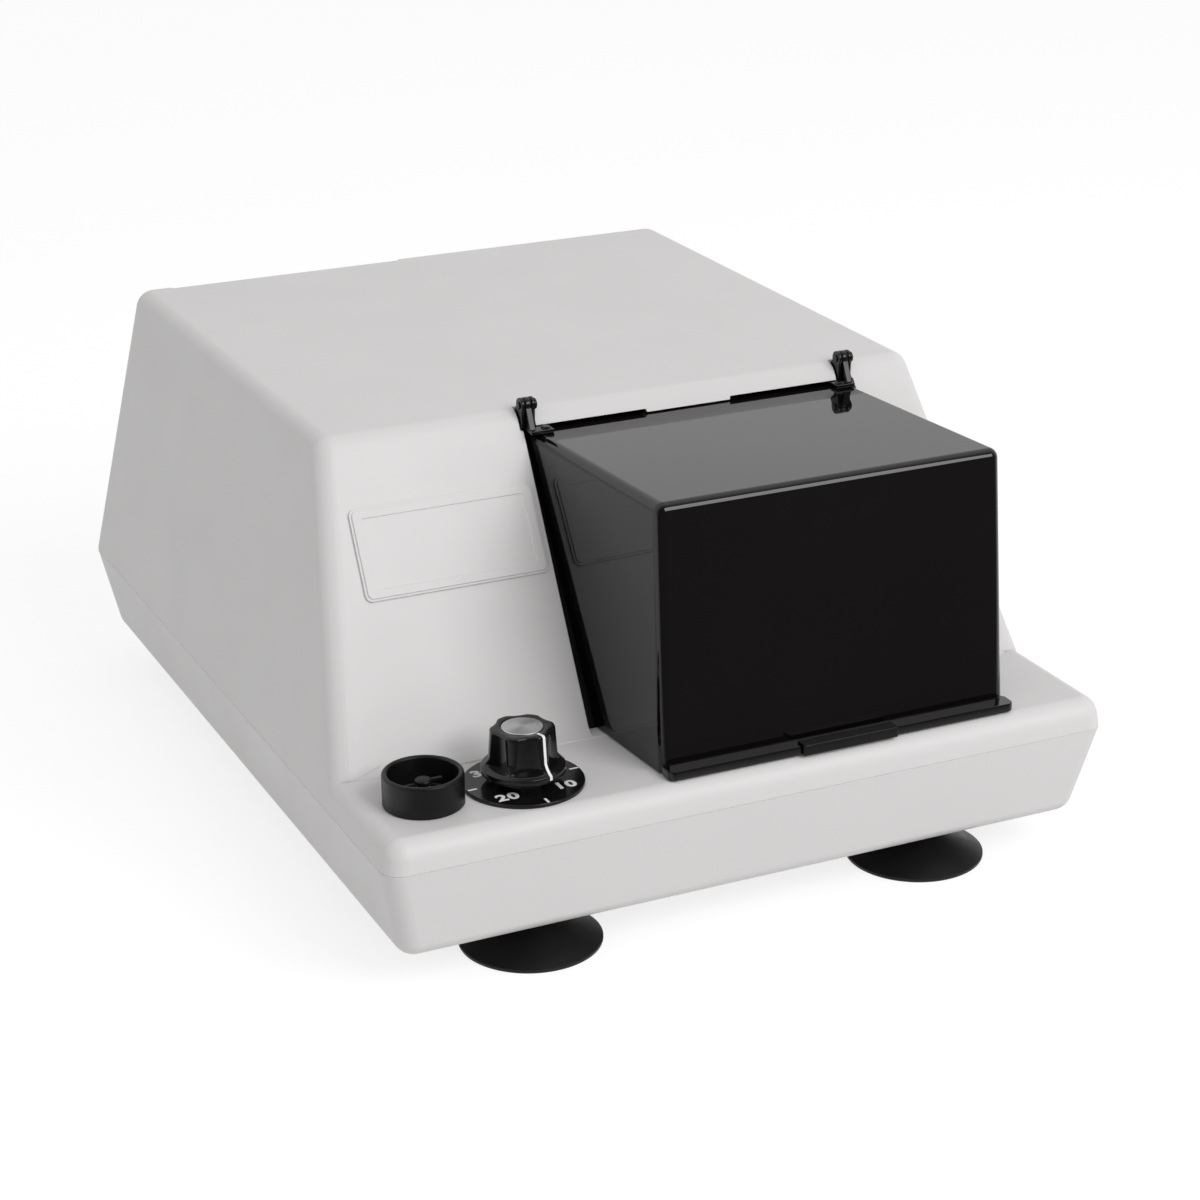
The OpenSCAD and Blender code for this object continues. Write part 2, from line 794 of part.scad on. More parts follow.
module start_plunger() {
    head = 1.6;
    dome = 0.5;
    head_z = deck_z + button_h - head;
    color([0.12, 0.12, 0.125])
        translate([start_x, control_y, 0]) {
            translate([0, 0, start_foot_z]) cylinder(r = button_stem_r, h = head_z - start_foot_z);
            translate([0, 0, start_foot_z]) cylinder(r = 3, h = 1);
            translate([0, 0, head_z]) cylinder(r = button_r, h = head - dome);
            translate([0, 0, head_z + head - dome]) cylinder(r1 = button_r, r2 = button_r - 0.6, h = dome);
            translate([0, -0.7, head_z]) cube([5.4, 1.4, 0.9]);
        }
}

module start_spring() {
    color(steel)
        translate([start_x, control_y, start_well_z + fit])
            coil(2.1, 0.5, 4, start_foot_z - start_well_z - 2 * fit);
}

// Rounded form of the hood, shrunk by inset, running on past its open faces
module hood_form(inset) {
    r = max(hood_r - inset, 0.4);
    off = inset + r;
    hull()
        for (z = [deck_z - below, hood_top - off], sx = [-1, 1], back = [0, 1]) {
            x = hood_x(z) - off * sec(hood_side_t);
            y = back == 1 ? slope_y1 + 30 : hood_y(z) + off * sec(hood_front_t);
            translate([open_x + sx * (x - hood_close(y)) + hood_shift(y), y, z])
                sphere(r = r, $fn = 32);
        }
}

module hood() {
    lip_y = front_y + lip_front;
    lip_d = lip_out + hood_wall - 0.5;
    behind = wall - slip;
    under_tab = 2.4;
    color(gloss_black)
        difference() {
            union() {
                hood_form(0);
                translate([open_x, lip_y + lip_d / 2, hood_low]) round_block(hood_w, lip_d, lip_t, 2);
            }
            hood_form(hood_wall);
            translate([-body_w, -body_d, -2 * below]) cube([2 * body_w, 2 * body_d, hood_low + 2 * below]);
            slab_x(open_x, body_w, [
                [slope_y(-below) + behind / cos(slope_a), -below],
                [slope_y(2 * top_z) + behind / cos(slope_a), 2 * top_z],
                [2 * body_d, 2 * top_z],
                [2 * body_d, -below]
            ]);
            translate([open_x - body_w / 2, slope_y(hood_top) + under_tab, hood_top - hood_wall - 1])
                cube([body_w, body_d, hood_wall + 4]);
            for (x = rivet_spots)
                translate([x, rivet_y, hood_top - hood_wall - 1]) cylinder(r = rivet_r + fit, h = 5);
        }
}

// Both leaves reach in from their lug over the hood's top
rivet_r = 1;
leaf_spans = [
    [open_x + hinge_left_dx - lug_t / 2, hood_side(-1, hood_top) + 6],
    [hood_side(1, hood_top) - 7.2, open_x + hinge_right_dx + lug_t / 2]
];
rivet_spots = [leaf_spans[0][1] - rivet_in, leaf_spans[1][0] + rivet_in];

module hood_finger_tab() {
    front_t = 1.25;
    over = 0.7;
    color(matt_black)
        translate([open_x + 0.7, front_y + lip_front, hood_low]) {
            translate([-tab_grip_w / 2, -front_t - fit, 0]) cube([tab_grip_w, front_t, lip_t + over]);
            translate([-tab_grip_w / 2, -front_t, lip_t + fit])
                cube([tab_grip_w, front_t + 3, over - fit]);
        }
}

module hood_leaves() {
    color(gloss_black)
        for (i = [0, 1]) {
            x = open_x + hinge_dx[i];
            difference() {
                union() {
                    rod_x(x - lug_t / 2, pin_y, pin_z, knuckle_r, lug_t);
                    slab_x(x, lug_t / 2, [
                        [pin_y - knuckle_r + 0.1, pin_z - 0.6],
                        [pin_y - 0.6, pin_z - knuckle_r + 0.1],
                        [leaf_y1, leaf_z],
                        [lug_y0, leaf_z],
                        [lug_y0, leaf_z + leaf_t]
                    ]);
                    translate([leaf_spans[i][0], leaf_y0, leaf_z])
                        cube([leaf_spans[i][1] - leaf_spans[i][0], leaf_y1 - leaf_y0, leaf_t]);
                }
                rod_x(x - 5, pin_y, pin_z, hinge_pin_r + fit, 10);
                translate([rivet_spots[i], rivet_y, leaf_z - 1]) cylinder(r = rivet_r + fit, h = 8);
            }
        }
}

module hood_rivets() {
    under = hood_top - hood_wall;
    color(matt_black)
        for (x = rivet_spots)
            translate([x, rivet_y, 0]) {
                translate([0, 0, leaf_z + leaf_t]) cylinder(r1 = 1.5, r2 = 1, h = 0.6);
                translate([0, 0, under - 0.5]) cylinder(r = rivet_r, h = hood_wall + leaf_t + 1);
                translate([0, 0, under - 0.9 - fit]) cylinder(r = 1.2, h = 0.9);
            }
}

module hinge_brackets() {
    color(gloss_black)
        for (dx = hinge_dx)
            difference() {
                union() {
                    for (s = [-1, 1]) {
                        x = open_x + dx + s * (ear_x + ear_t / 2);
                        rod_x(x - ear_t / 2, pin_y, pin_z, knuckle_r, ear_t);
                        slab_x(x, ear_t / 2, [
                            [pin_y - 1.6, bracket_z - 1.6],
                            [pin_y + 4.2, bracket_z - 1.6],
                            [pin_y + 4.2, bracket_z + 1.5],
                            [pin_y + knuckle_r - 0.1, pin_z - 0.6],
                            [pin_y - knuckle_r + 0.35, pin_z - 1.2]
                        ]);
                    }
                    translate([open_x + dx - hinge_half, pin_y + 4.2, bracket_z - 1.6])
                        cube([2 * hinge_half, 10, 1.6]);
                    translate([open_x + dx - hinge_half, pin_y + 2.2, bracket_z - 1.6])
                        cube([2 * hinge_half, 3, 1.6]);
                }
                rod_x(open_x + dx - 10, pin_y, pin_z, hinge_pin_r + fit, 20);
                translate([open_x + dx, pin_y + 10.5, bracket_z - 3]) cylinder(r = 1.6, h = 5);
            }
}

module hinge_pins() {
    color(gloss_black)
        for (dx = hinge_dx) {
            rod_x(open_x + dx - hinge_half - 0.4, pin_y, pin_z, hinge_pin_r, 2 * hinge_half + 0.6);
            rod_x(open_x + dx + hinge_half + 0.1, pin_y, pin_z, hinge_pin_r + 0.6, 0.7);
        }
}

module suction_cups() {
    rise = foot_h;
    steps = 10;
    outer = [
        for (i = [0:steps])
            let (u = i / steps)
            [7 + (cup_r - 7) * pow(1 - u, 1.5), 1 + (rise - 3.5) * pow(u, 0.9)]
    ];
    inner = [
        for (i = [0:steps])
            let (u = i / steps)
            [(cup_r - 1) * (1 - u), 3.2 * pow(u, 0.8)]
    ];
    color(matt_black)
        at_corners(foot_x, front_y + foot_in, back_y - foot_in)
            difference() {
                rotate_extrude()
                    polygon(concat(
                        [[0, 3.2], [0, rise], [7, rise]],
                        [for (i = [0:steps]) outer[steps - i]],
                        [[cup_r, 0.3], [cup_r - 0.2, 0], [cup_r - 0.8, 0]],
                        [for (i = [0:steps - 1]) inner[i]]
                    ));
                translate([0, 0, 4.9]) cylinder(r = 4.3, h = 2.2);
                translate([0, 0, 6.5]) cylinder(r = 2.5, h = rise);
            }
}

module foot_studs() {
    color(zinc)
        at_corners(foot_x, front_y + foot_in, back_y - foot_in) {
            translate([0, 0, 5]) cylinder(r = 4.2, h = 2);
            translate([0, 0, 6.5]) cylinder(r = 2.45, h = floor_z + 4.5 - 6.5);
        }
}

module foot_nuts() {
    color(zinc)
        at_corners(foot_x, front_y + foot_in, back_y - foot_in)
            translate([0, 0, floor_z + fit]) hex_nut(8, 2.5, 4);
}

module housing_screws() {
    color(steel)
        at_corners(screw_x, screw_y0, screw_y1) {
            translate([0, 0, screw_seat - 2.4]) cylinder(r = 3.2, h = 2.4);
            translate([0, 0, screw_seat - 0.5]) cylinder(r = screw_r, h = part_z + 9 - screw_seat);
        }
}

// Screws down onto the chassis: each is [x, y, height of the seat, length]
function chassis_spots() = concat(
    [for (sx = [-1, 1], y = [chassis_y0 + chassis_end, chassis_y1 - chassis_end])
        [sx * (chassis_x - chassis_in), y, chassis_top, chassis_top - foot_h - 2]],
    [for (s = [-1, 1])
        [transformer_x + s * (transformer_w / 2 + foot_mid), transformer_y, chassis_top + sheet_t, 6]],
    [for (s = [-1, 1]) [hub_x + s * bracket_dx, upright_y + bracket_foot, chassis_top + sheet_t, 6]]
);
function strap_spots() = [
    for (x = strap_xs, s = [-1, 1])
        [x + strap_w / 2, shaft_y + s * (cradle_half - 3.5), strap_z + strap_t, 8]
];
inner_screw_r = 1.4;

module chassis_plate() {
    color(zinc)
        difference() {
            translate([0, (chassis_y0 + chassis_y1) / 2, chassis_z])
                round_block(2 * chassis_x, chassis_y1 - chassis_y0, chassis_t, 4);
            for (p = chassis_spots())
                translate([p[0], p[1], chassis_z - 1]) cylinder(r = inner_screw_r + 0.2, h = chassis_t + 2);
            for (x = [motor_hole_x0, motor_hole_x1], y = [motor_hole_y0, motor_hole_y1])
                translate([x, y, chassis_z - 1]) cylinder(r = 1.6, h = chassis_t + 2);
        }
}

module inner_screws() {
    color(steel) {
        for (p = concat(chassis_spots(), strap_spots()))
            translate([p[0], p[1], p[2]]) {
                cylinder(r = 2.8, h = 2);
                translate([0, 0, -p[3]]) cylinder(r = inner_screw_r, h = p[3] + 1);
            }
        liner_spots() translate([0, 0, -wall - fit - liner_t]) {
            cylinder(r = 1.25, h = liner_t + wall - 1.5);
            translate([0, 0, -1.6]) cylinder(r = 2.5, h = 1.6);
        }
    }
}

// Motor, along X, with its shaft running on into the oblique bush
module motor_can() {
    color([0.36, 0.38, 0.4])
        difference() {
            on_shaft(motor_x0) ring(motor_r, motor_r - can_t, motor_l);
            translate([motor_x0 + 12, shaft_y, shaft_z]) rotate([90, 0, 0])
                translate([0, 0, -motor_r - 1]) cylinder(r = 4 + fit, h = 2 * motor_r + 2);
        }
}

module motor_end_caps() {
    color([0.7, 0.7, 0.7])
        for (x = [motor_x0 - cap_t, motor_x1])
            difference() {
                union() {
                    on_shaft(x) cylinder(r = motor_r, h = cap_t);
                    on_shaft(x == motor_x1 ? x : x + cap_t - 7) cylinder(r = 11, h = 7);
                }
                on_shaft(x - 8) cylinder(r = 8, h = 24);
                for (a = [0, 180])
                    on_shaft(x - 8) rotate(a) translate([motor_r - 6, 0, 0]) cylinder(r = 1.8, h = 24);
                for (a = [0:45:359])
                    on_shaft(x - 8) rotate(a) translate([17, 0, 0]) cylinder(r = 3, h = 24);
            }
}

module motor_bearings() {
    color(brass)
        for (x = [motor_x0 - 7, motor_x1])
            on_shaft(x) ring(8, shaft_r + fit, 7);
}

module motor_magnets() {
    color([0.2, 0.2, 0.21])
        difference() {
            on_shaft(motor_x0 + brush_room)
                ring(motor_r - can_t, motor_r - can_t - magnet_t, motor_l - brush_room - core_end);
            for (s = [-1, 1])
                translate([motor_x0, shaft_y - 9, s > 0 ? shaft_z + 8 : shaft_z - 8 - motor_r])
                    cube([motor_l, 18, motor_r]);
        }
}

module brush_holders() {
    color([0.3, 0.16, 0.1])
        for (s = [-1, 1])
            translate([motor_x0 + 12, shaft_y, shaft_z])
                rotate([s * 90, 0, 0])
                    translate([0, 0, 11]) {
                        cylinder(r = 4, h = motor_r - 9);
                        translate([0, 0, motor_r - 10.5]) cylinder(r = 5, h = 1.5);
                    }
}

// Long bolts that run between the magnets and pull both end caps onto the tube
module motor_bolts() {
    bolt_l = motor_l + 2 * cap_t;
    color(steel)
        for (a = [0, 180])
            on_shaft(motor_x0 - cap_t) rotate(a) translate([motor_r - 6, 0, 0]) {
                translate([0, 0, -2.2]) cylinder(r = 3, h = 2.2);
                translate([0, 0, -1]) cylinder(r = 1.6, h = bolt_l + 4);
                translate([0, 0, bolt_l]) cylinder(r = 3.2, h = 2.4, $fn = 6);
            }
}

// Sheet-metal cradle under the motor, on rubber mounts
mount_h = 6;
cradle_z = chassis_top + mount_h;
cradle_t = 2;
cradle_half = motor_r + 5;
motor_hole_x0 = motor_x0 + 10;
motor_hole_x1 = motor_x1 - 5.5;
motor_hole_y0 = shaft_y - cradle_half + 6;
motor_hole_y1 = shaft_y + cradle_half - 6;
cradle_x0 = motor_x0 + 2;
cradle_x1 = motor_x1 - 2;
strap_in0 = 26;
strap_in1 = 16;
strap_xs = [motor_x0 + strap_in0, motor_x1 - strap_in1];
strap_w = 6;
strap_t = 1.4;
strap_drop = 18;
strap_z = shaft_z - strap_drop + fit;

module motor_cradle() {
    color(zinc)
        difference() {
            union() {
                translate([cradle_x0, shaft_y - cradle_half, cradle_z])
                    cube([cradle_x1 - cradle_x0, 2 * cradle_half, cradle_t]);
                for (x = strap_xs)
                    translate([x, shaft_y - cradle_half, cradle_z])
                        cube([strap_w, 2 * cradle_half, strap_z - fit - cradle_z]);
            }
            for (p = strap_spots())
                translate([p[0], p[1], p[2] - p[3] - 1]) cylinder(r = inner_screw_r + fit, h = p[3] + 2);
            on_shaft(cradle_x0 - 5) cylinder(r = motor_r + fit, h = motor_l + 10);
            for (x = [motor_hole_x0, motor_hole_x1], y = [motor_hole_y0, motor_hole_y1])
                translate([x, y, cradle_z - 1]) cylinder(r = 2, h = cradle_t + 2);
        }
}

// Bands over the motor, screwed down onto the cradle's uprights
module motor_straps() {
    foot = cradle_half - motor_r + 7;
    color(zinc)
        for (x = strap_xs)
            difference() {
                union() {
                    on_shaft(x) ring(motor_r + strap_t, motor_r + fit, strap_w);
                    for (s = [-1, 1])
                        translate([x, shaft_y + (s > 0 ? cradle_half - foot : -cradle_half), strap_z])
                            cube([strap_w, foot, strap_t]);
                }
                translate([x - 1, shaft_y - 2 * motor_r, strap_z - 2 * motor_r])
                    cube([strap_w + 2, 4 * motor_r, 2 * motor_r]);
                on_shaft(x - 1) cylinder(r = motor_r + fit, h = strap_w + 2);
                for (p = strap_spots())
                    translate([p[0], p[1], p[2] - 4]) cylinder(r = inner_screw_r + 0.2, h = 8);
            }
}

module rubber_mounts() {
    color(matt_black)
        for (x = [motor_hole_x0, motor_hole_x1], y = [motor_hole_y0, motor_hole_y1])
            translate([x, y, chassis_top])
                union() {
                    cylinder(r = 5, h = mount_h);
                    translate([0, 0, -chassis_t]) cylinder(r = 1.5, h = chassis_t + 1);
                    translate([0, 0, mount_h]) cylinder(r = 1.95, h = cradle_t);
                    translate([0, 0, mount_h + cradle_t]) cylinder(r = 3, h = 1.5);
                }
}

module rotor_shaft() {
    x0 = motor_x0 - fan_gap - fan_w - 2;
    color(steel) on_shaft(x0) cylinder(r = shaft_r, h = hub_x + 14 - x0);
}

// Iron core of the rotor with the copper end turns at both ends
module armature() {
    core_r = motor_r - can_t - magnet_t - air_gap;
    core_x = motor_x0 + brush_room;
    core_l = motor_l - brush_room - core_end;
    color([0.5, 0.48, 0.45])
        difference() {
            on_shaft(core_x) ring(core_r, shaft_r, core_l);
            for (a = [0:30:359])
                on_shaft(core_x - 1) rotate(a) translate([core_r, 0, 0]) cylinder(r = 1.6, h = core_l + 2);
        }
    color([0.72, 0.4, 0.2])
        for (x = [core_x - 3.5, core_x + core_l]) on_shaft(x) ring(core_r - 4, shaft_r, 3.5);
}

module commutator() {
    color(brass)
        difference() {
            on_shaft(motor_x0 + 5) ring(10.5, shaft_r, 14);
            for (a = [0:30:359])
                on_shaft(motor_x0 + 4) rotate(a) translate([10, -0.3, 0]) cube([2, 0.6, 16]);
        }
}

module cooling_fan() {
    x0 = motor_x0 - fan_w - fan_gap;
    fan_r = 0.75 * motor_r;
    fan_hub = 2 * shaft_r;
    blade_t = 1.6;
    color([0.15, 0.15, 0.16]) {
        on_shaft(x0) ring(fan_hub, shaft_r, fan_w);
        for (a = [0:45:359])
            on_shaft(x0) rotate(a) translate([fan_hub - 0.5, -blade_t / 2, 0.5])
                cube([fan_r - fan_hub + 0.5, blade_t, fan_w - 1]);
        on_shaft(x0) ring(fan_r, fan_hub - 0.2, 1);
    }
}

module oblique_bush() {
    color(steel)
        difference() {
            union() {
                on_arm() rod_x(-bear_half - 4, 0, 0, 8.5, 4);
                on_arm() rod_x(-bear_half - 1, 0, 0, bear_in_r, 2 * bear_half + 5);
                on_shaft(hub_x - 13) cylinder(r = 7.5, h = 6);
            }
            on_shaft(hub_x - 30) cylinder(r = shaft_r, h = 60);
        }
}

module bearing_inner_ring() {
    color(steel)
        on_arm()
            translate([-bear_half, 0, 0]) rotate([0, 90, 0])
                difference() {
                    ring(ball_pitch - 1.2, bear_in_r, 2 * bear_half);
                    translate([0, 0, bear_half]) rotate_extrude()
                        translate([ball_pitch, 0]) circle(ball_r + fit);
                }
}

module bearing_balls() {
    color(steel)
        on_arm()
            for (i = [0:ball_n - 1])
                rotate([360 * i / ball_n, 0, 0]) translate([0, ball_pitch, 0]) sphere(ball_r, $fn = 24);
}

module bearing_outer_ring() {
    color(steel)
        on_arm()
            translate([-bear_half, 0, 0]) rotate([0, 90, 0])
                difference() {
                    ring(bear_out_r, ball_pitch + 1.2, 2 * bear_half);
                    translate([0, 0, bear_half]) rotate_extrude()
                        translate([ball_pitch, 0]) circle(ball_r + fit);
                }
}

tail_y = hub_r + 7;
tail_half = 4;

// The shank laps the hub's lug, and two screws run through both
lug_l = 16;
lap_ys = [-hub_r - 5, -hub_r - 12];
arm_screw_r = 1.4;

// Ring that carries the bearing, with a lug for the shank and a tail for the springs
module arm_hub() {
    color([0.72, 0.73, 0.75])
        on_arm()
            difference() {
                union() {
                    rod_x(-hub_half, 0, 0, hub_r, 2 * hub_half);
                    translate([-hub_half, -hub_r - lug_l, -7]) cube([hub_half, lug_l + 5, 14]);
                    translate([-tail_half, hub_r - 4, -3]) cube([2 * tail_half, 14, 6]);
                }
                rod_x(-bear_half, 0, 0, bear_out_r, hub_half + bear_half + 1);
                rod_x(-hub_half - 1, 0, 0, bear_out_r - 2, 2 * hub_half + 2);
                for (y = lap_ys) rod_x(-hub_half - 1, y, 0, arm_screw_r + fit, hub_half + 2);
            }
}

fork_y = arm_l - 18;
jaw_x = capsule_gap / 2 + 4;
clip_x = jaw_x;
clip_half = 3;
barrel_top = 0.4;
jaw_tip = arm_l + 9;
cup_out_r = 6.5;
capsule_r = 5.4;
ear_z = 5;

// Shank, cross bar and fixed jaw of the capsule fork
module shaker_arm() {
    gap = fit;
    bar_x1 = clip_x - 8;
    color([0.72, 0.73, 0.75])
        on_arm()
            difference() {
                union() {
                    translate([-6, -fork_y, -6]) cube([12, fork_y - hub_r - lug_l - slip, 12]);
                    translate([gap, -fork_y, -6]) cube([6 - gap, fork_y - hub_r - 1.5, 12]);
                    translate([-jaw_x - 2, -fork_y - 3, -4]) cube([jaw_x + 2 + bar_x1 + 4, 6, 8]);
                    for (z = [-ear_z, clip_half + gap]) {
                        translate([bar_x1, -fork_y - 3, z]) cube([8, 6, ear_z - clip_half - gap]);
                        translate([clip_x, -fork_y, z]) cylinder(r = 3, h = ear_z - clip_half - gap);
                    }
                    translate([bar_x1, -fork_y - 3, -ear_z]) cube([4, 6, 2 * ear_z]);
                    translate([-jaw_x - 2, -jaw_tip, -4]) cube([3, jaw_tip - fork_y, 8]);
                    rod_x(-jaw_x - 2, -arm_l, 0, cup_out_r, 6);
                }
                rod_x(-jaw_x + 2.6, -arm_l, 0, capsule_r, 3);
                translate([clip_x, -fork_y, -10]) cylinder(r = clip_pin_r + fit, h = 20);
                for (y = lap_ys) rod_x(-1, y, 0, arm_screw_r + 0.2, 10);
            }
}

module arm_screws() {
    color(steel)
        on_arm()
            for (y = lap_ys) {
                rod_x(-hub_half + 0.5, y, 0, arm_screw_r, hub_half + 6.5);
                rod_x(6, y, 0, 2.8, 2);
            }
}

clip_pin_r = 1.2;

module clip_jaw() {
    color([0.72, 0.73, 0.75])
        on_arm()
            difference() {
                union() {
                    translate([clip_x, -fork_y, -clip_half]) cylinder(r = 3, h = clip_half + barrel_top);
                    translate([clip_x - 1, -jaw_tip, -clip_half])
                        cube([3, jaw_tip - fork_y - 1.5, clip_half + barrel_top]);
                    translate([clip_x - 1, -jaw_tip, -clip_half])
                        cube([3, jaw_tip - fork_y - 4, 2 * clip_half]);
                    rod_x(clip_x - 4, -arm_l, 0, cup_out_r, 6);
                }
                rod_x(clip_x - 5, -arm_l, 0, capsule_r, 2.4);
                translate([clip_x, -fork_y, -10]) cylinder(r = clip_pin_r + fit, h = 20);
            }
}

module clip_pin() {
    head = 0.75;
    gap_head = fit;
    color(steel)
        on_arm()
            translate([clip_x, -fork_y, -ear_z - gap_head - head]) {
                cylinder(r = clip_pin_r, h = 2 * (ear_z + gap_head + head));
                cylinder(r = 2.2, h = head);
                translate([0, 0, 2 * (ear_z + gap_head) + head]) cylinder(r = 2.2, h = head);
            }
}

// Small torsion spring round the pin, between the jaw's barrel and the upper ear
module clip_spring() {
    color(steel)
        on_arm()
            translate([clip_x, -fork_y, barrel_top + 0.15]) coil(2, 0.5, 1.5, clip_half - barrel_top - 0.3);
}

// C-shaped bracket behind the hub, with a spring above and a spring below the tail
sheet_t = 2;
bracket_dx = 7;
bracket_foot = 9;
spring_half = 13;
spring_r = 4;
spring_y = shaft_y + tail_y;
spring_reach = 7;
spring_rise = 32;
upright_y = spring_y + 2 * spring_reach;
spring_top = shaft_z + spring_rise;

module spring_bracket() {
    color(zinc)
        difference() {
            union() {
                translate([hub_x - spring_half, spring_y - spring_reach, chassis_top])
                    cube([2 * spring_half, 4 * spring_reach + bracket_foot - 1, sheet_t]);
                translate([hub_x - spring_half, upright_y, chassis_top])
                    cube([2 * spring_half, sheet_t, spring_top + sheet_t - chassis_top]);
                translate([hub_x - spring_half, spring_y - spring_reach, spring_top])
                    cube([2 * spring_half, 3 * spring_reach + sheet_t, sheet_t]);
            }
            for (s = [-1, 1])
                translate([hub_x + s * bracket_dx, upright_y + bracket_foot, chassis_top - 1])
                    cylinder(r = inner_screw_r + 0.2, h = sheet_t + 2);
        }
}

module arm_springs() {
    reach = 3 + tail_half * sin(bush_tilt) + 0.4;
    color(steel)
        translate([hub_x, spring_y, 0]) {
            translate([0, 0, shaft_z + reach]) coil(spring_r, 1, 6, spring_top - shaft_z - reach - fit);
            translate([0, 0, chassis_top + sheet_t + fit])
                coil(spring_r, 1, 12, shaft_z - reach - chassis_top - sheet_t - fit);
        }
}

board_w = 80;
board_d = 62;
board_gap = 7;
board_x = board_w / 2 + 5 - chassis_x;
board_y = shaft_y + cradle_half + board_gap + board_d / 2;
board_z = chassis_top + 8;
board_t = 1.6;
board_in = 5;

// Places its children at the board's four fixing holes
module board_corners() {
    for (sx = [-1, 1], sy = [-1, 1])
        translate([board_x + sx * (board_w / 2 - board_in), board_y + sy * (board_d / 2 - board_in), 0])
            children();
}

// Board with its capacitor, relay, heat sink and terminal block
module circuit_board() {
    top = board_z + board_t;
    color([0.1, 0.36, 0.2]) {
        difference() {
            translate([board_x - board_w / 2, board_y - board_d / 2, board_z])
                cube([board_w, board_d, board_t]);
            board_corners() translate([0, 0, board_z - 1]) cylinder(r = 1.7, h = board_t + 2);
        }
        translate([board_x - board_w / 4, board_y + board_d / 5, top]) cylinder(r = 9, h = 24);
        translate([board_x + 4, board_y + 4, top]) cube([20, 16, 15]);
        translate([board_x - 28, board_y - board_d / 4, top]) cube([30, 3, 20]);
        translate([board_x + 6, board_y - board_d / 3, top]) cube([24, 9, 10]);
    }
}

module board_posts() {
    color(steel)
        board_corners() {
            translate([0, 0, chassis_top]) cylinder(r = 3, h = board_z - chassis_top);
            translate([0, 0, board_z - 2]) cylinder(r = 1.6, h = board_t + 3);
            translate([0, 0, board_z + board_t]) cylinder(r = 2.8, h = 1.8);
        }
}

transformer_w = 57;
transformer_h = 48;
transformer_d = 28;
coil_d = 48;
foot_mid = 5;
transformer_x = chassis_x - transformer_w / 2 - 2 * foot_mid;
transformer_y = board_y + board_d / 4;

// Laminated core on its strap feet, with the winding round its middle
module transformer() {
    x = transformer_x;
    y = transformer_y;
    w = transformer_w;
    foot_l = 2 * foot_mid - 1;
    color([0.32, 0.3, 0.28])
        difference() {
            union() {
                translate([x - w / 2, y - transformer_d / 2, chassis_top])
                    cube([w, transformer_d, transformer_h]);
                translate([x - w / 2 - foot_l, y - transformer_d / 2, chassis_top])
                    cube([w + 2 * foot_l, transformer_d, sheet_t]);
                translate([x - w / 3, y - coil_d / 2, chassis_top + transformer_h / 5])
                    cube([2 * w / 3, coil_d, 0.6 * transformer_h]);
            }
            for (s = [-1, 1])
                translate([x + s * (w / 2 + foot_mid), y, chassis_top - 1])
                    cylinder(r = inner_screw_r + 0.2, h = sheet_t + 2);
        }
}

// Socket and fuse housing in the back recess
socket_z = inlet_z + 6;
drawer_z = inlet_z - 13.5;
drawer_w = 24;
drawer_h = 8;
drawer_l = 17;

module power_inlet() {
    flange_t = 2;
    y0 = recess_y;
    color(matt_black)
        difference() {
            union() {
                translate([inlet_x, y0 + fit, inlet_z]) rotate([-90, 0, 0])
                    round_block(inlet_w, inlet_h, flange_t, 3);
                translate([inlet_x, y0 - 22, inlet_z]) inlet_cutout(0, 23);
                for (x = [-7, 0, 7])
                    translate([inlet_x + x - 2.4, y0 - 30, socket_z - 1]) cube([4.8, 9, 0.8]);
            }
            translate([inlet_x - 12.5, y0 - 15, socket_z - 8.5]) cube([25, 30, 17]);
            translate([inlet_x - drawer_w / 2 - 0.15, y0 - drawer_l - 1, drawer_z - drawer_h / 2 - 0.15])
                cube([drawer_w + 0.3, 40, drawer_h + 0.3]);
        }
    color(brass)
        for (p = [[-7, -2], [7, -2], [0, 3]])
            translate([inlet_x + p[0] - 1, y0 - 16, socket_z + p[1] - 2]) cube([2, 14, 4]);
}

module fuse_drawer() {
    y1 = recess_y + fit + 2;
    color([0.14, 0.14, 0.15])
        difference() {
            union() {
                translate([inlet_x - drawer_w / 2, recess_y - drawer_l + 1, drawer_z - drawer_h / 2])
                    cube([drawer_w, drawer_l + 1.4, drawer_h]);
                translate([inlet_x - 4, y1 - 1.6, drawer_z - drawer_h / 2]) cube([8, 3, 1.6]);
            }
            translate([inlet_x - 10.4, recess_y - drawer_l + 3, drawer_z - 2.8]) cube([20.8, 7, 10]);
        }
    color(brass) {
        rod_x(inlet_x - 10.2, recess_y - drawer_l + 6.5, drawer_z, 2.5, 5);
        rod_x(inlet_x + 5.2, recess_y - drawer_l + 6.5, drawer_z, 2.5, 5);
        rod_x(inlet_x - 5.5, recess_y - drawer_l + 6.5, drawer_z, 2.2, 11);
    }
}

rocker_tilt = 8;
rocker_y = recess_y + 0.5;

module mains_switch() {
    y0 = recess_y;
    color(matt_black)
        difference() {
            union() {
                translate([rocker_x, y0 + fit, rocker_z])
                    rotate([-90, 0, 0]) round_block(15.5, 21.5, 2, 1.5);
                translate([rocker_x, y0 - 16, rocker_z]) rocker_cutout(0, 17);
                for (z = [-6, 0, 6]) translate([rocker_x - 2.4, y0 - 24, rocker_z + z]) cube([4.8, 9, 0.8]);
            }
            translate([rocker_x - 5.3, y0 - 9, rocker_z - 8.6]) cube([10.6, 20, 17.2]);
            rod_x(rocker_x - 5.9, rocker_y, rocker_z, 1 + fit, 11.8);
        }
}

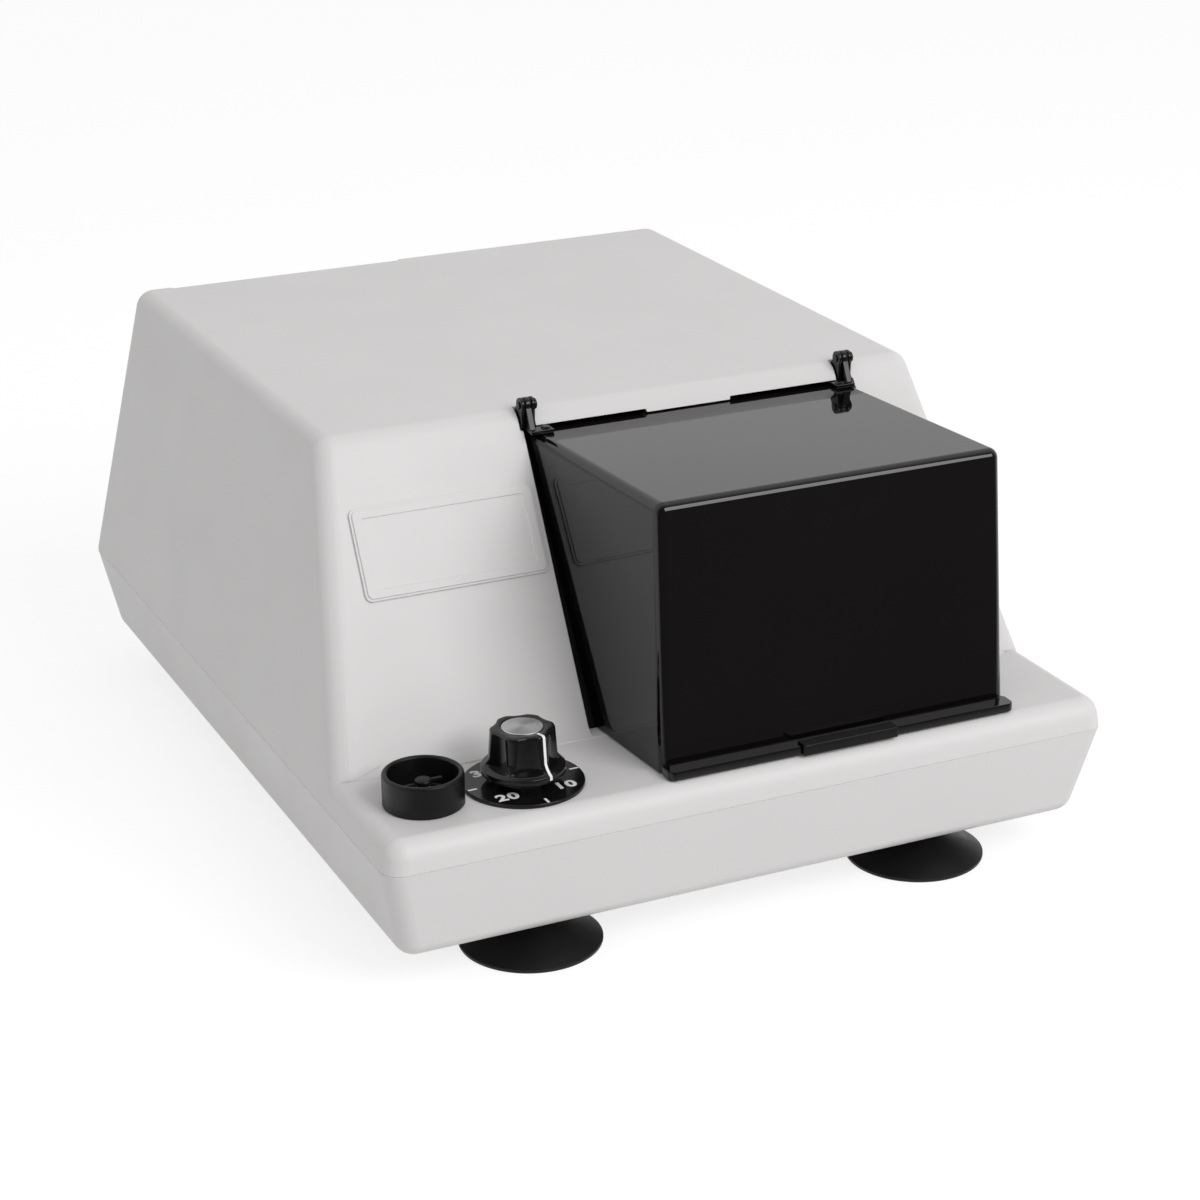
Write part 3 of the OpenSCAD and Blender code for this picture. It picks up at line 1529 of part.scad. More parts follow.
module mains_rocker() {
    color([0.16, 0.16, 0.17])
        translate([0, rocker_y, rocker_z])
            rotate([rocker_tilt, 0, 0])
                translate([0, -rocker_y, -rocker_z]) {
                    intersection() {
                        slab_x(rocker_x, 5, [
                            [rocker_y - 4, rocker_z - 4],
                            [rocker_y - 0.5, rocker_z - 9],
                            [rocker_y + 3.6, rocker_z - 9],
                            [rocker_y + 2.2, rocker_z],
                            [rocker_y + 3.6, rocker_z + 9],
                            [rocker_y - 0.5, rocker_z + 9],
                            [rocker_y - 4, rocker_z + 4]
                        ]);
                        rod_x(rocker_x - 6, rocker_y, rocker_z, 8.3, 12);
                    }
                    rod_x(rocker_x - 5.8, rocker_y, rocker_z, 1, 11.6);
                }
}

upper_shell();
lower_shell();
label_plate();
chamber_liner();
timer_dial();
timer_control();
timer_nut();
timer_shaft();
timer_knob();
knob_cap();
knob_pointer();
start_collar();
start_switch();
start_nut();
start_plunger();
start_spring();
hood();
hood_finger_tab();
hood_leaves();
hood_rivets();
hinge_brackets();
hinge_pins();
suction_cups();
foot_studs();
foot_nuts();
housing_screws();
chassis_plate();
inner_screws();
motor_can();
motor_end_caps();
motor_bearings();
motor_magnets();
brush_holders();
motor_bolts();
motor_cradle();
motor_straps();
rubber_mounts();
rotor_shaft();
armature();
commutator();
cooling_fan();
oblique_bush();
bearing_inner_ring();
bearing_balls();
bearing_outer_ring();
arm_hub();
shaker_arm();
arm_screws();
clip_jaw();
clip_pin();
clip_spring();
spring_bracket();
arm_springs();
circuit_board();
board_posts();
transformer();
power_inlet();
fuse_drawer();
mains_switch();
mains_rocker();
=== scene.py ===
"""Looks of a table-top dental amalgamator: materials, modelled skins, studio and camera."""

import json
import math

import bmesh
import bpy
from mathutils import Matrix, Vector


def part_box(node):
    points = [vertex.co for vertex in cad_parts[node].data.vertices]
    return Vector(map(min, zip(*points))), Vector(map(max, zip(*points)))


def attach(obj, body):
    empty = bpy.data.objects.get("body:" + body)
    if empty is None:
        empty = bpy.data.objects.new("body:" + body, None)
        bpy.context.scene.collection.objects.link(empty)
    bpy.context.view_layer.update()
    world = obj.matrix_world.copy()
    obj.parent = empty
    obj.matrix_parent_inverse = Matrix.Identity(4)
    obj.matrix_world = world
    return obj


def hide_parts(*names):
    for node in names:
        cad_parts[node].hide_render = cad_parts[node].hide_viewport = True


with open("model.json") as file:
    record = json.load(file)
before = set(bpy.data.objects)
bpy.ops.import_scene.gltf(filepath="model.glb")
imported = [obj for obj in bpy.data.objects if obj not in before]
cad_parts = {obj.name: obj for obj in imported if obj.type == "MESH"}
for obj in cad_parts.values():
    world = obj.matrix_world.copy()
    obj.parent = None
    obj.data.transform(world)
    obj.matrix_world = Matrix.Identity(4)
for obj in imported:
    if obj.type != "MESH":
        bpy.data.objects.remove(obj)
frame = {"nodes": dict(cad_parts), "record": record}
NODES = frame["nodes"]
BODY_OF = {n: b for b, names in frame["record"]["behaviour"]["bodies"].items() for n in names}
SLOT_OF = {s["node"]: s["material_slot"] for s in frame["record"]["subparts"]}
MM = 0.001

# Points nearer than this, in metres, are one point
WELD = 0.000002


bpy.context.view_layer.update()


# Materials. Each is a Principled shader whose roughness, bump and tone vary with fine noise.

# Most values of a noise texture lie between these
NOISE_LOW = 0.3
NOISE_HIGH = 0.7

# How a drawn metal's grain is stretched: long along X, fine across it
DRAWN_GRAIN = (40.0, 1800.0, 1800.0)


class Nodes:
    """Small helper that adds and links shader nodes."""

    def __init__(self, name):
        self.material = bpy.data.materials.new(name)
        self.material.use_nodes = True
        self.tree = self.material.node_tree
        self.shader = self.tree.nodes["Principled BSDF"]
        self.place = self.add("ShaderNodeTexCoord").outputs["Object"]

    def add(self, kind, **values):
        node = self.tree.nodes.new(kind)
        for key, value in values.items():
            if key in node.inputs:
                node.inputs[key].default_value = value
            else:
                setattr(node, key, value)
        return node

    def link(self, output, target):
        self.tree.links.new(output, target)

    def noise(self, scale, detail=3.0, rough=0.5, source=None):
        node = self.add("ShaderNodeTexNoise", Scale=scale, Detail=detail, Roughness=rough)
        self.link(source or self.place, node.inputs["Vector"])
        return node.outputs["Fac"]

    def spread(self, value, low, high):
        """Stretches a noise value to run from low to high."""
        node = self.add("ShaderNodeMapRange")
        node.inputs["From Min"].default_value = NOISE_LOW
        node.inputs["From Max"].default_value = NOISE_HIGH
        node.inputs["To Min"].default_value = low
        node.inputs["To Max"].default_value = high
        self.link(value, node.inputs["Value"])
        return node.outputs["Result"]

    def blend_colors(self, value, first, second):
        node = self.add("ShaderNodeMix", data_type="RGBA")
        tones = {"A": first, "B": second}
        for socket in node.inputs:
            if socket.type == "RGBA":
                socket.default_value = (*tones[socket.name], 1)
        self.link(value, node.inputs["Factor"])
        return [o for o in node.outputs if o.type == "RGBA"][0]

    def bump(self, height, strength, distance):
        node = self.add("ShaderNodeBump", Strength=strength, Distance=distance)
        self.link(height, node.inputs["Height"])
        return node.outputs["Normal"]


def finish_shader(name, color, other, rough, grain, depth, patch=30.0, **fixed):
    """A shader with two near tones, a roughness range and a fine bump.

    color and other are the two tones, rough is (low, high), grain is the bump's noise scale and
    depth its height in metres. fixed holds constants for the shader's own sockets.
    """
    n = Nodes(name)
    tone = n.noise(patch, 4.0)
    n.link(n.blend_colors(n.spread(tone, 0.0, 1.0), color, other), n.shader.inputs["Base Color"])
    smudge = n.noise(patch * 2.7, 5.0, 0.6)
    n.link(n.spread(smudge, *rough), n.shader.inputs["Roughness"])
    if depth:
        n.link(n.bump(n.noise(grain, 2.0), 1.0, depth), n.shader.inputs["Normal"])
    for socket, value in fixed.items():
        n.shader.inputs[socket.replace("_", " ")].default_value = value
    return n


def shell_plastic():
    """Warm grey-white moulding with a fine matt texture."""
    n = finish_shader("shell_plastic", (0.780, 0.766, 0.762), (0.766, 0.753, 0.749),
                      (0.40, 0.50), 1500.0, 0.000016, 18.0)
    n.shader.inputs["Specular IOR Level"].default_value = 0.4
    coarse = n.bump(n.noise(420.0, 2.0), 0.5, 0.00002)
    fine = [x for x in n.tree.nodes if x.type == "BUMP"][0]
    n.link(coarse, fine.inputs["Normal"])
    return n.material


def hood_gloss():
    """Black high-gloss acrylic with a faint long wave in its surface."""
    n = finish_shader("hood_gloss", (0.0032, 0.0022, 0.0029), (0.0042, 0.0031, 0.0038),
                      (0.02, 0.05), 3000.0, 0.0, 25.0)
    n.link(n.bump(n.noise(14.0, 1.0), 0.5, 0.00030), n.shader.inputs["Normal"])
    return n.material


def spun_metal(centre):
    """Aluminium cap with fine concentric turning marks around centre."""
    n = Nodes("spun_cap")
    shift = n.add("ShaderNodeVectorMath", operation="SUBTRACT")
    shift.inputs[1].default_value = (centre[0], centre[1], 0.0)
    n.link(n.place, shift.inputs[0])
    parts = n.add("ShaderNodeSeparateXYZ")
    n.link(shift.outputs["Vector"], parts.inputs["Vector"])
    flat = n.add("ShaderNodeCombineXYZ")
    n.link(parts.outputs["X"], flat.inputs["X"])
    n.link(parts.outputs["Y"], flat.inputs["Y"])
    radius = n.add("ShaderNodeVectorMath", operation="LENGTH")
    n.link(flat.outputs["Vector"], radius.inputs[0])
    ring = n.add("ShaderNodeCombineXYZ")
    n.link(radius.outputs["Value"], ring.inputs["X"])
    marks = n.noise(9000.0, 3.0, 0.7, ring.outputs["Vector"])
    tone = n.blend_colors(marks, (0.50, 0.50, 0.51), (0.66, 0.66, 0.67))
    n.link(tone, n.shader.inputs["Base Color"])
    n.link(n.spread(marks, 0.24, 0.40), n.shader.inputs["Roughness"])
    n.link(n.bump(marks, 0.5, 0.00002), n.shader.inputs["Normal"])
    n.shader.inputs["Metallic"].default_value = 1.0
    n.shader.inputs["Anisotropic"].default_value = 0.75
    tangent = n.add("ShaderNodeTangent", direction_type="RADIAL", axis="Z")
    n.link(tangent.outputs["Tangent"], n.shader.inputs["Tangent"])
    return n.material


def brushed(name, color, other, rough):
    """Drawn or rolled metal: the grain is stretched along one axis."""
    n = Nodes(name)
    stretch = n.add("ShaderNodeMapping")
    stretch.inputs["Scale"].default_value = DRAWN_GRAIN
    n.link(n.place, stretch.inputs["Vector"])
    grain = n.noise(1.0, 4.0, 0.6, stretch.outputs["Vector"])
    n.link(n.blend_colors(grain, color, other), n.shader.inputs["Base Color"])
    n.link(n.spread(grain, *rough), n.shader.inputs["Roughness"])
    n.link(n.bump(grain, 0.4, 0.00002), n.shader.inputs["Normal"])
    n.shader.inputs["Metallic"].default_value = 1.0
    return n.material


def metal(name, color, other, rough, grain, depth):
    """Plain metal with an even, fine-grained surface."""
    return finish_shader(name, color, other, rough, grain, depth, 60.0, Metallic=1.0).material


MATERIALS = {
    "shell": shell_plastic(),
    "gloss_black": finish_shader("gloss_black", (0.005, 0.005, 0.006), (0.008, 0.008, 0.009),
                                 (0.10, 0.20), 900.0, 0.000012, 120.0, Specular_IOR_Level=0.4).material,
    "hood_gloss": hood_gloss(),
    "satin_black": finish_shader("satin_black", (0.0045, 0.0040, 0.0045), (0.0070, 0.0065, 0.0070),
                                 (0.34, 0.46), 1200.0, 0.00002, 90.0, Specular_IOR_Level=0.3).material,
    "white_paint": finish_shader("white_paint", (0.96, 0.96, 0.95), (0.92, 0.92, 0.91),
                                 (0.40, 0.55), 2500.0, 0.00001, 300.0).material,
    "suction_rubber": finish_shader("suction_rubber", (0.0035, 0.0030, 0.0035),
                                    (0.0055, 0.0050, 0.0055), (0.34, 0.48), 700.0, 0.00001, 60.0,
                                    Specular_IOR_Level=0.3).material,
    "mount_rubber": finish_shader("mount_rubber", (0.02, 0.02, 0.02), (0.03, 0.03, 0.03),
                                  (0.6, 0.75), 900.0, 0.00002, 60.0).material,
    "zinc_steel": metal("zinc_steel", (0.56, 0.56, 0.52), (0.66, 0.65, 0.60), (0.28, 0.42),
                        500.0, 0.00002),
    "bright_steel": brushed("bright_steel", (0.50, 0.51, 0.53), (0.68, 0.69, 0.71), (0.20, 0.34)),
    "grey_paint": finish_shader("grey_paint", (0.07, 0.08, 0.09), (0.09, 0.10, 0.11),
                                (0.30, 0.42), 800.0, 0.00003, 40.0, Coat_Weight=0.3).material,
    "die_cast": metal("die_cast", (0.60, 0.61, 0.63), (0.70, 0.71, 0.72), (0.36, 0.5), 900.0, 0.00004),
    "ferrite": finish_shader("ferrite", (0.04, 0.04, 0.045), (0.06, 0.06, 0.065),
                             (0.55, 0.7), 600.0, 0.00003, 60.0).material,
    "iron_copper": metal("iron_copper", (0.30, 0.20, 0.13), (0.42, 0.24, 0.12), (0.4, 0.6),
                         700.0, 0.00005),
    "brass": metal("brass", (0.72, 0.56, 0.26), (0.80, 0.64, 0.33), (0.25, 0.38), 900.0, 0.00002),
    "bronze": metal("bronze", (0.60, 0.42, 0.20), (0.70, 0.50, 0.26), (0.3, 0.45), 700.0, 0.00003),
    "brown_resin": finish_shader("brown_resin", (0.13, 0.055, 0.03), (0.17, 0.075, 0.04),
                                 (0.35, 0.5), 700.0, 0.00002, 60.0).material,
    "green_board": finish_shader("green_board", (0.02, 0.14, 0.06), (0.03, 0.19, 0.09),
                                 (0.3, 0.45), 700.0, 0.00002, 90.0).material,
    "transformer_iron": finish_shader("transformer_iron", (0.10, 0.09, 0.08), (0.14, 0.12, 0.10),
                                      (0.4, 0.6), 900.0, 0.00004, 60.0, Metallic=0.6).material,
}


# Pieces

# Edges steeper than this, in degrees, get a small round; faces flatter than FLAT are made one
BEVEL_FROM = 40.0
FLAT = 0.7


def linked(name, data):
    """An object for the data, in the scene."""
    obj = bpy.data.objects.new(name, data)
    bpy.context.scene.collection.objects.link(obj)
    return obj


def smooth(obj, angle):
    """Smooth shading that stays crisp over edges steeper than angle."""
    for polygon in obj.data.polygons:
        polygon.use_smooth = True
    obj.data.set_sharp_from_angle(angle=math.radians(angle))
    weighted = obj.modifiers.new("weighted", "WEIGHTED_NORMAL")
    weighted.keep_sharp = True


def piece(name, mesh, material, node, replaced=True, angle=30.0):
    """Links a mesh as a piece that rides with node's body, and stands for node unless told not to."""
    obj = linked(name, mesh)
    obj.data.materials.append(MATERIALS[material] if isinstance(material, str) else material)
    smooth(obj, angle)
    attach(obj, BODY_OF[node])
    if replaced:
        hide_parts(node)


def to_mesh(name, bm):
    mesh = bpy.data.meshes.new(name)
    bm.normal_update()
    bm.to_mesh(mesh)
    bm.free()
    return mesh


def evaluated(obj):
    """The object's mesh with its modifiers applied."""
    bpy.context.view_layer.update()
    graph = bpy.context.evaluated_depsgraph_get()
    return bpy.data.meshes.new_from_object(obj.evaluated_get(graph))


def softened(node, width):
    """The node's own shape with its sharp edges broken by a small round."""
    bm = bmesh.new()
    bm.from_mesh(NODES[node].data)
    bmesh.ops.remove_doubles(bm, verts=bm.verts, dist=WELD)
    bmesh.ops.dissolve_limit(bm, angle_limit=math.radians(FLAT), verts=bm.verts, edges=bm.edges)
    base = linked(node + "_raw", to_mesh(node + "_raw", bm))
    bevel = base.modifiers.new("bevel", "BEVEL")
    bevel.width = width
    bevel.segments = 2
    bevel.limit_method = "ANGLE"
    bevel.angle_limit = math.radians(BEVEL_FROM)
    bevel.use_clamp_overlap = False
    bevel.miter_outer = "MITER_ARC"
    mesh = evaluated(base)
    bpy.data.objects.remove(base)
    return mesh


def parted(mesh, low, high):
    """Two meshes: the faces outside a box and those inside it."""
    parts = []
    for wanted in (False, True):
        bm = bmesh.new()
        bm.from_mesh(mesh)
        drop = []
        for face in bm.faces:
            middle = face.calc_center_median()
            inside = all(low[i] < middle[i] < high[i] for i in range(3))
            if inside != wanted:
                drop.append(face)
        bmesh.ops.delete(bm, geom=drop, context="FACES")
        parts.append(to_mesh(mesh.name, bm))
    return parts


def lathe(profile, centre, steps=96, wobble=None):
    """Turns (radius, height) points round a vertical axis; wobble(angle, r, z) can change a radius."""
    bm = bmesh.new()
    rings = []
    for r, z in profile:
        if r < WELD:
            rings.append([bm.verts.new((centre[0], centre[1], centre[2] + z))])
            continue
        ring = []
        for i in range(steps):
            a = 2 * math.pi * i / steps
            q = wobble(a, r, z) if wobble else r
            ring.append(bm.verts.new((centre[0] + q * math.cos(a), centre[1] + q * math.sin(a),
                                      centre[2] + z)))
        rings.append(ring)
    for low, high in zip(rings, rings[1:]):
        for i in range(steps):
            j = (i + 1) % steps
            if len(low) == 1:
                bm.faces.new((low[0], high[j], high[i]))
            elif len(high) == 1:
                bm.faces.new((low[i], low[j], high[0]))
            else:
                bm.faces.new((low[i], low[j], high[j], high[i]))
    bmesh.ops.recalc_face_normals(bm, faces=bm.faces)
    return bm


def corner(r0, z0, radius, start, end, steps=6):
    """Points of a round corner, as an arc about (r0, z0) between two angles in degrees."""
    return [
        (r0 + radius * math.cos(math.radians(start + (end - start) * i / steps)),
         z0 + radius * math.sin(math.radians(start + (end - start) * i / steps)))
        for i in range(steps + 1)
    ]


# Timer: dial with its numbers, fluted knob, cap and pointer. Angles are in degrees.

dial_low, dial_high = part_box("timer_dial")
timer_x, timer_y = (dial_low.x + dial_high.x) / 2, (dial_low.y + dial_high.y) / 2
dial_r = (dial_high.x - dial_low.x) / 2
DIAL_BORE_R = 3.6 * MM
DIAL_EDGE = 0.3 * MM
POINTER_ANGLE = -73.0
SECONDS_ZERO = 46.0
DEGREES_PER_SECOND = 9.0
LAST_SECOND = 30

# Print on the dial. PRINT_HALF is half the thickness of a mark.
PRINT_HALF = 0.02 * MM
NUMBER_R = 11.9 * MM
NUMBER_SIZE = 5.2 * MM
NUMBER_BOLD = 0.2 * MM
NUMBER_WIDEN = 1.15
NUMBER_SPACING = 1.1
TICK_R = 14.9 * MM
TICK_LENGTH = 2.6 * MM
TICK_WIDTH = 0.7 * MM
print_z = dial_high.z + PRINT_HALF


def on_dial(seconds, r):
    """Angle in degrees and place on the dial for a number of seconds."""
    angle = SECONDS_ZERO - DEGREES_PER_SECOND * seconds
    a = math.radians(angle)
    return angle, (timer_x + r * math.cos(a), timer_y + r * math.sin(a))


def dial():
    t = dial_high.z - dial_low.z
    bore = [(DIAL_BORE_R, t), (DIAL_BORE_R, 0)]
    rim = [(dial_r, 0)] + corner(dial_r - DIAL_EDGE, t - DIAL_EDGE, DIAL_EDGE, 0, 90)
    bm = lathe(bore + rim + bore[:1], (timer_x, timer_y, dial_low.z))
    piece("dial_disc", to_mesh("dial_disc", bm), "gloss_black", "timer_dial")


def number(text, place):
    """A plain printed number at a place of the dial, which reads upright from the front."""
    curve = bpy.data.curves.new("number", "FONT")
    curve.body = text
    curve.size = NUMBER_SIZE
    curve.align_x = "CENTER"
    curve.align_y = "CENTER"
    curve.extrude = PRINT_HALF
    curve.offset = NUMBER_BOLD
    curve.space_character = NUMBER_SPACING
    curve.resolution_u = 6
    obj = linked("number", curve)
    mesh = evaluated(obj)
    bpy.data.objects.remove(obj)
    widen = Matrix.Diagonal((NUMBER_WIDEN, 1, 1, 1))
    mesh.transform(Matrix.Translation((*place, print_z)) @ widen)
    return mesh


def dial_marks():
    for seconds in range(0, LAST_SECOND + 1, 10):
        mesh = number(str(seconds), on_dial(seconds, NUMBER_R)[1])
        piece(f"dial_number_{seconds}", mesh, "white_paint", "timer_dial", replaced=False)
    for seconds in range(5, LAST_SECOND, 10):
        angle, place = on_dial(seconds, TICK_R)
        bm = bmesh.new()
        bmesh.ops.create_cube(bm, size=1.0)
        bmesh.ops.scale(bm, vec=(TICK_LENGTH, TICK_WIDTH, 2 * PRINT_HALF), verts=bm.verts)
        bmesh.ops.rotate(bm, matrix=Matrix.Rotation(math.radians(angle), 3, "Z"), verts=bm.verts)
        bmesh.ops.translate(bm, vec=(*place, print_z), verts=bm.verts)
        piece(f"dial_tick_{seconds}", to_mesh("tick", bm), "white_paint", "timer_dial", replaced=False)


knob_low, knob_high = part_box("timer_knob")
knob_h = knob_high.z - knob_low.z
KNOB_BORE_R = 6.6 * MM
KNOB_R = 9.2 * MM
KNOB_TOP_R = 8.8 * MM
KNOB_EDGE = 0.7 * MM
KNOB_STEPS = 288
SKIRT_R = 11.5 * MM
RIM_H = 2.0 * MM
RIM_EDGE = 0.3 * MM

# The flare from the skirt up to the wall is a curve drawn by its start, its pull and its end
FLARE_START = (SKIRT_R - 0.2 * MM, RIM_H)
FLARE_PULL = (9.9 * MM, 3.2 * MM)
FLARE_END = (KNOB_R + 0.1 * MM, 4.8 * MM)
FLARE_STEPS = 16
WALL_STEPS = 12

CAP_R = 5.7 * MM
CAP_EDGE = 0.25 * MM
CAP_GAP = 0.1 * MM
SEAT_DEPTH = 0.4 * MM
SEAT_MOUTH = 0.35 * MM
SEAT_EDGE = 0.12 * MM

FLUTES = 6
FLUTE_R = 10.0 * MM
FLUTE_DEPTH = 1.3 * MM
FLUTE_FOOT = RIM_H + 0.5 * MM
FLUTE_RISE = 0.45 * MM
FLUTE_INNER_R = KNOB_TOP_R - 1.5 * MM
LAND_ROUND = 0.35 * MM

POINTER_HALF = 0.42 * MM
POINTER_START_R = CAP_R + 0.4 * MM
POINTER_DROP = 1.2 * MM
PAINT_LIFT = 0.05 * MM


def softer_least(first, second, round_off):
    """The lesser of two lengths, with the change from one to the other rounded off."""
    share = min(1.0, max(0.0, 0.5 + 0.5 * (second - first) / round_off))
    return second + (first - second) * share - round_off * share * (1 - share)


def flute(angle, r, z):
    """Radius of the knob's wall, hollowed by wide flutes between narrow lands."""
    if z < FLUTE_FOOT or r < FLUTE_INNER_R:
        return r
    pitch = 2 * math.pi / FLUTES
    off = (angle - math.radians(POINTER_ANGLE)) % pitch - pitch / 2
    middle = KNOB_R - FLUTE_DEPTH + FLUTE_R
    hollow = middle * math.cos(off) - math.sqrt(FLUTE_R ** 2 - (middle * math.sin(off)) ** 2)
    wall = max(r, KNOB_TOP_R)
    rise = min(1.0, (z - FLUTE_FOOT) / FLUTE_RISE)
    return r - rise * (wall - softer_least(wall, hollow, LAND_ROUND))


def knob_side():
    """The knob's outline over its rim, flare, wall and top edge, going up."""
    path = corner(SKIRT_R - RIM_EDGE, RIM_H - RIM_EDGE, RIM_EDGE, 0, 60, 4)
    for i in range(FLARE_STEPS + 1):
        u = i / FLARE_STEPS
        path.append(tuple((1 - u) ** 2 * a + 2 * u * (1 - u) * b + u ** 2 * c
                          for a, b, c in zip(FLARE_START, FLARE_PULL, FLARE_END)))
    foot_r, foot_z = FLARE_END
    for i in range(1, WALL_STEPS):
        u = i / WALL_STEPS
        path.append((foot_r + (KNOB_TOP_R - foot_r) * u, foot_z + (knob_h - KNOB_EDGE - foot_z) * u))
    return path + corner(KNOB_TOP_R - KNOB_EDGE, knob_h - KNOB_EDGE, KNOB_EDGE, 0, 90, 7)


def knob():
    floor = knob_h - SEAT_DEPTH
    profile = [(KNOB_BORE_R, 0)] + corner(SKIRT_R - RIM_EDGE, RIM_EDGE, RIM_EDGE, -90, 0, 4)
    profile += knob_side()
    profile += [(CAP_R + SEAT_MOUTH, knob_h), (CAP_R + SEAT_EDGE, knob_h - SEAT_EDGE)]
    profile += [(CAP_R + CAP_GAP, floor), (0, floor)]
    bm = lathe(profile, (timer_x, timer_y, knob_low.z), KNOB_STEPS, flute)
    piece("knob_body", to_mesh("knob_body", bm), "gloss_black", "timer_knob", angle=50.0)


def knob_cap():
    low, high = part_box("knob_cap")
    h = high.z - low.z
    profile = [(0, 0), (CAP_R, 0), (CAP_R, h - CAP_EDGE)]
    profile += corner(CAP_R - CAP_EDGE, h - CAP_EDGE, CAP_EDGE, 0, 90, 4)[1:] + [(0, h)]
    bm = lathe(profile, (timer_x, timer_y, low.z), 128)
    piece("knob_cap_disc", to_mesh("knob_cap_disc", bm), spun_metal((timer_x, timer_y)), "knob_cap")


def knob_pointer():
    """A line of paint that follows the knob from the cap's edge to the skirt's rim."""
    path = [(POINTER_START_R, knob_h)] + knob_side()[::-1] + [(SKIRT_R, RIM_H - POINTER_DROP)]
    bm = bmesh.new()
    rows = []
    for i, (r, z) in enumerate(path):
        before, after = path[max(0, i - 1)], path[min(len(path) - 1, i + 1)]
        run = Vector((after[0] - before[0], after[1] - before[1])).normalized()
        out = Vector((-run.y, run.x))
        row = []
        for side in (-POINTER_HALF, POINTER_HALF):
            for up in (PAINT_LIFT, -PAINT_LIFT):
                row.append(bm.verts.new((r + out.x * up, side, z + out.y * up)))
        rows.append(row)
    for a, b in zip(rows, rows[1:]):
        for i, j in ((0, 2), (2, 3), (3, 1), (1, 0)):
            bm.faces.new((a[i], a[j], b[j], b[i]))
    bm.faces.new((rows[0][0], rows[0][1], rows[0][3], rows[0][2]))
    bm.faces.new((rows[-1][0], rows[-1][2], rows[-1][3], rows[-1][1]))
    bmesh.ops.recalc_face_normals(bm, faces=bm.faces)
    bmesh.ops.rotate(bm, matrix=Matrix.Rotation(math.radians(POINTER_ANGLE), 3, "Z"), verts=bm.verts)
    bmesh.ops.translate(bm, vec=(timer_x, timer_y, knob_low.z), verts=bm.verts)
    piece("pointer_line", to_mesh("pointer_line", bm), "white_paint", "knob_pointer")


# Start button in its guard cup

GUARD_BORE_R = 2.7 * MM
GUARD_FLOOR = 1.2 * MM
GUARD_RIM_R = 0.8 * MM
GUARD_WALL = 2 * GUARD_RIM_R
GUARD_FOOT_EDGE = 0.3 * MM
GUARD_FLOOR_ROUND = 0.5 * MM

BUTTON_FOOT_R = 3.0 * MM
BUTTON_FOOT_H = 1.0 * MM
STEM_R = 1.5 * MM
HEAD_R = 2.4 * MM
HEAD_H = 1.6 * MM
HEAD_EDGE = 0.2 * MM
DOME_H = 0.9 * MM
DOME_STEPS = 6
FLAG_W = 1.3 * MM
FLAG_H = 0.85 * MM
FLAG_UP = 0.45 * MM
FLAG_EDGE = 0.2 * MM


def guard_cup():
    low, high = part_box("start_collar")
    x, y, r, h = (low.x + high.x) / 2, (low.y + high.y) / 2, (high.x - low.x) / 2, high.z - low.z
    bore = [(GUARD_BORE_R, GUARD_FLOOR), (GUARD_BORE_R, 0)]
    profile = bore + [(r - GUARD_FOOT_EDGE, 0), (r, GUARD_FOOT_EDGE), (r, h - GUARD_RIM_R)]
    profile += corner(r - GUARD_RIM_R, h - GUARD_RIM_R, GUARD_RIM_R, 0, 180, 12)[1:]
    profile += corner(r - GUARD_WALL - GUARD_FLOOR_ROUND, GUARD_FLOOR + GUARD_FLOOR_ROUND,
                      GUARD_FLOOR_ROUND, 0, -90, 4)
    bm = lathe(profile + bore[:1], (x, y, low.z))
    piece("guard_cup", to_mesh("guard_cup", bm), "satin_black", "start_collar")


def button():
    """Domed head on its stem, with the small flag that sticks out to the right."""
    low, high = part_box("start_plunger")
    flag_end = high.x
    x = low.x + BUTTON_FOOT_R
    y = (low.y + high.y) / 2
    h = high.z - low.z
    profile = [(0, 0), (BUTTON_FOOT_R, 0), (BUTTON_FOOT_R, BUTTON_FOOT_H), (STEM_R, BUTTON_FOOT_H)]
    profile += [(STEM_R, h - HEAD_H), (HEAD_R - HEAD_EDGE, h - HEAD_H), (HEAD_R, h - HEAD_H + HEAD_EDGE)]
    for i in range(DOME_STEPS):
        a = math.radians(90 * i / DOME_STEPS)
        profile.append((HEAD_R * math.cos(a), h - DOME_H + DOME_H * math.sin(a)))
    bm = lathe(profile + [(0, h)], (x, y, low.z), 64)
    flag = bmesh.ops.create_cube(bm, size=1.0)["verts"]
    bmesh.ops.scale(bm, vec=(flag_end - x - STEM_R, FLAG_W, FLAG_H), verts=flag)
    centre = ((flag_end + x + STEM_R) / 2, y, high.z - HEAD_H + FLAG_UP)
    bmesh.ops.translate(bm, vec=centre, verts=flag)
    edges = {e for v in flag for e in v.link_edges}
    bmesh.ops.bevel(bm, geom=list(edges), offset=FLAG_EDGE, segments=2, affect="EDGES")
    piece("button_plunger", to_mesh("button_plunger", bm), "satin_black", "start_plunger")


# Suction-cup feet

CUP_R = 20.0 * MM
CUP_LIP = 1.0 * MM
CUP_LIP_ROUND = 0.45 * MM
CUP_HOLLOW = 3.2 * MM
CUP_NECK_R = 7.0 * MM
CUP_NECK_H = 2.5 * MM
CUP_NECK_EDGE = 0.4 * MM
CUP_STEPS = 18


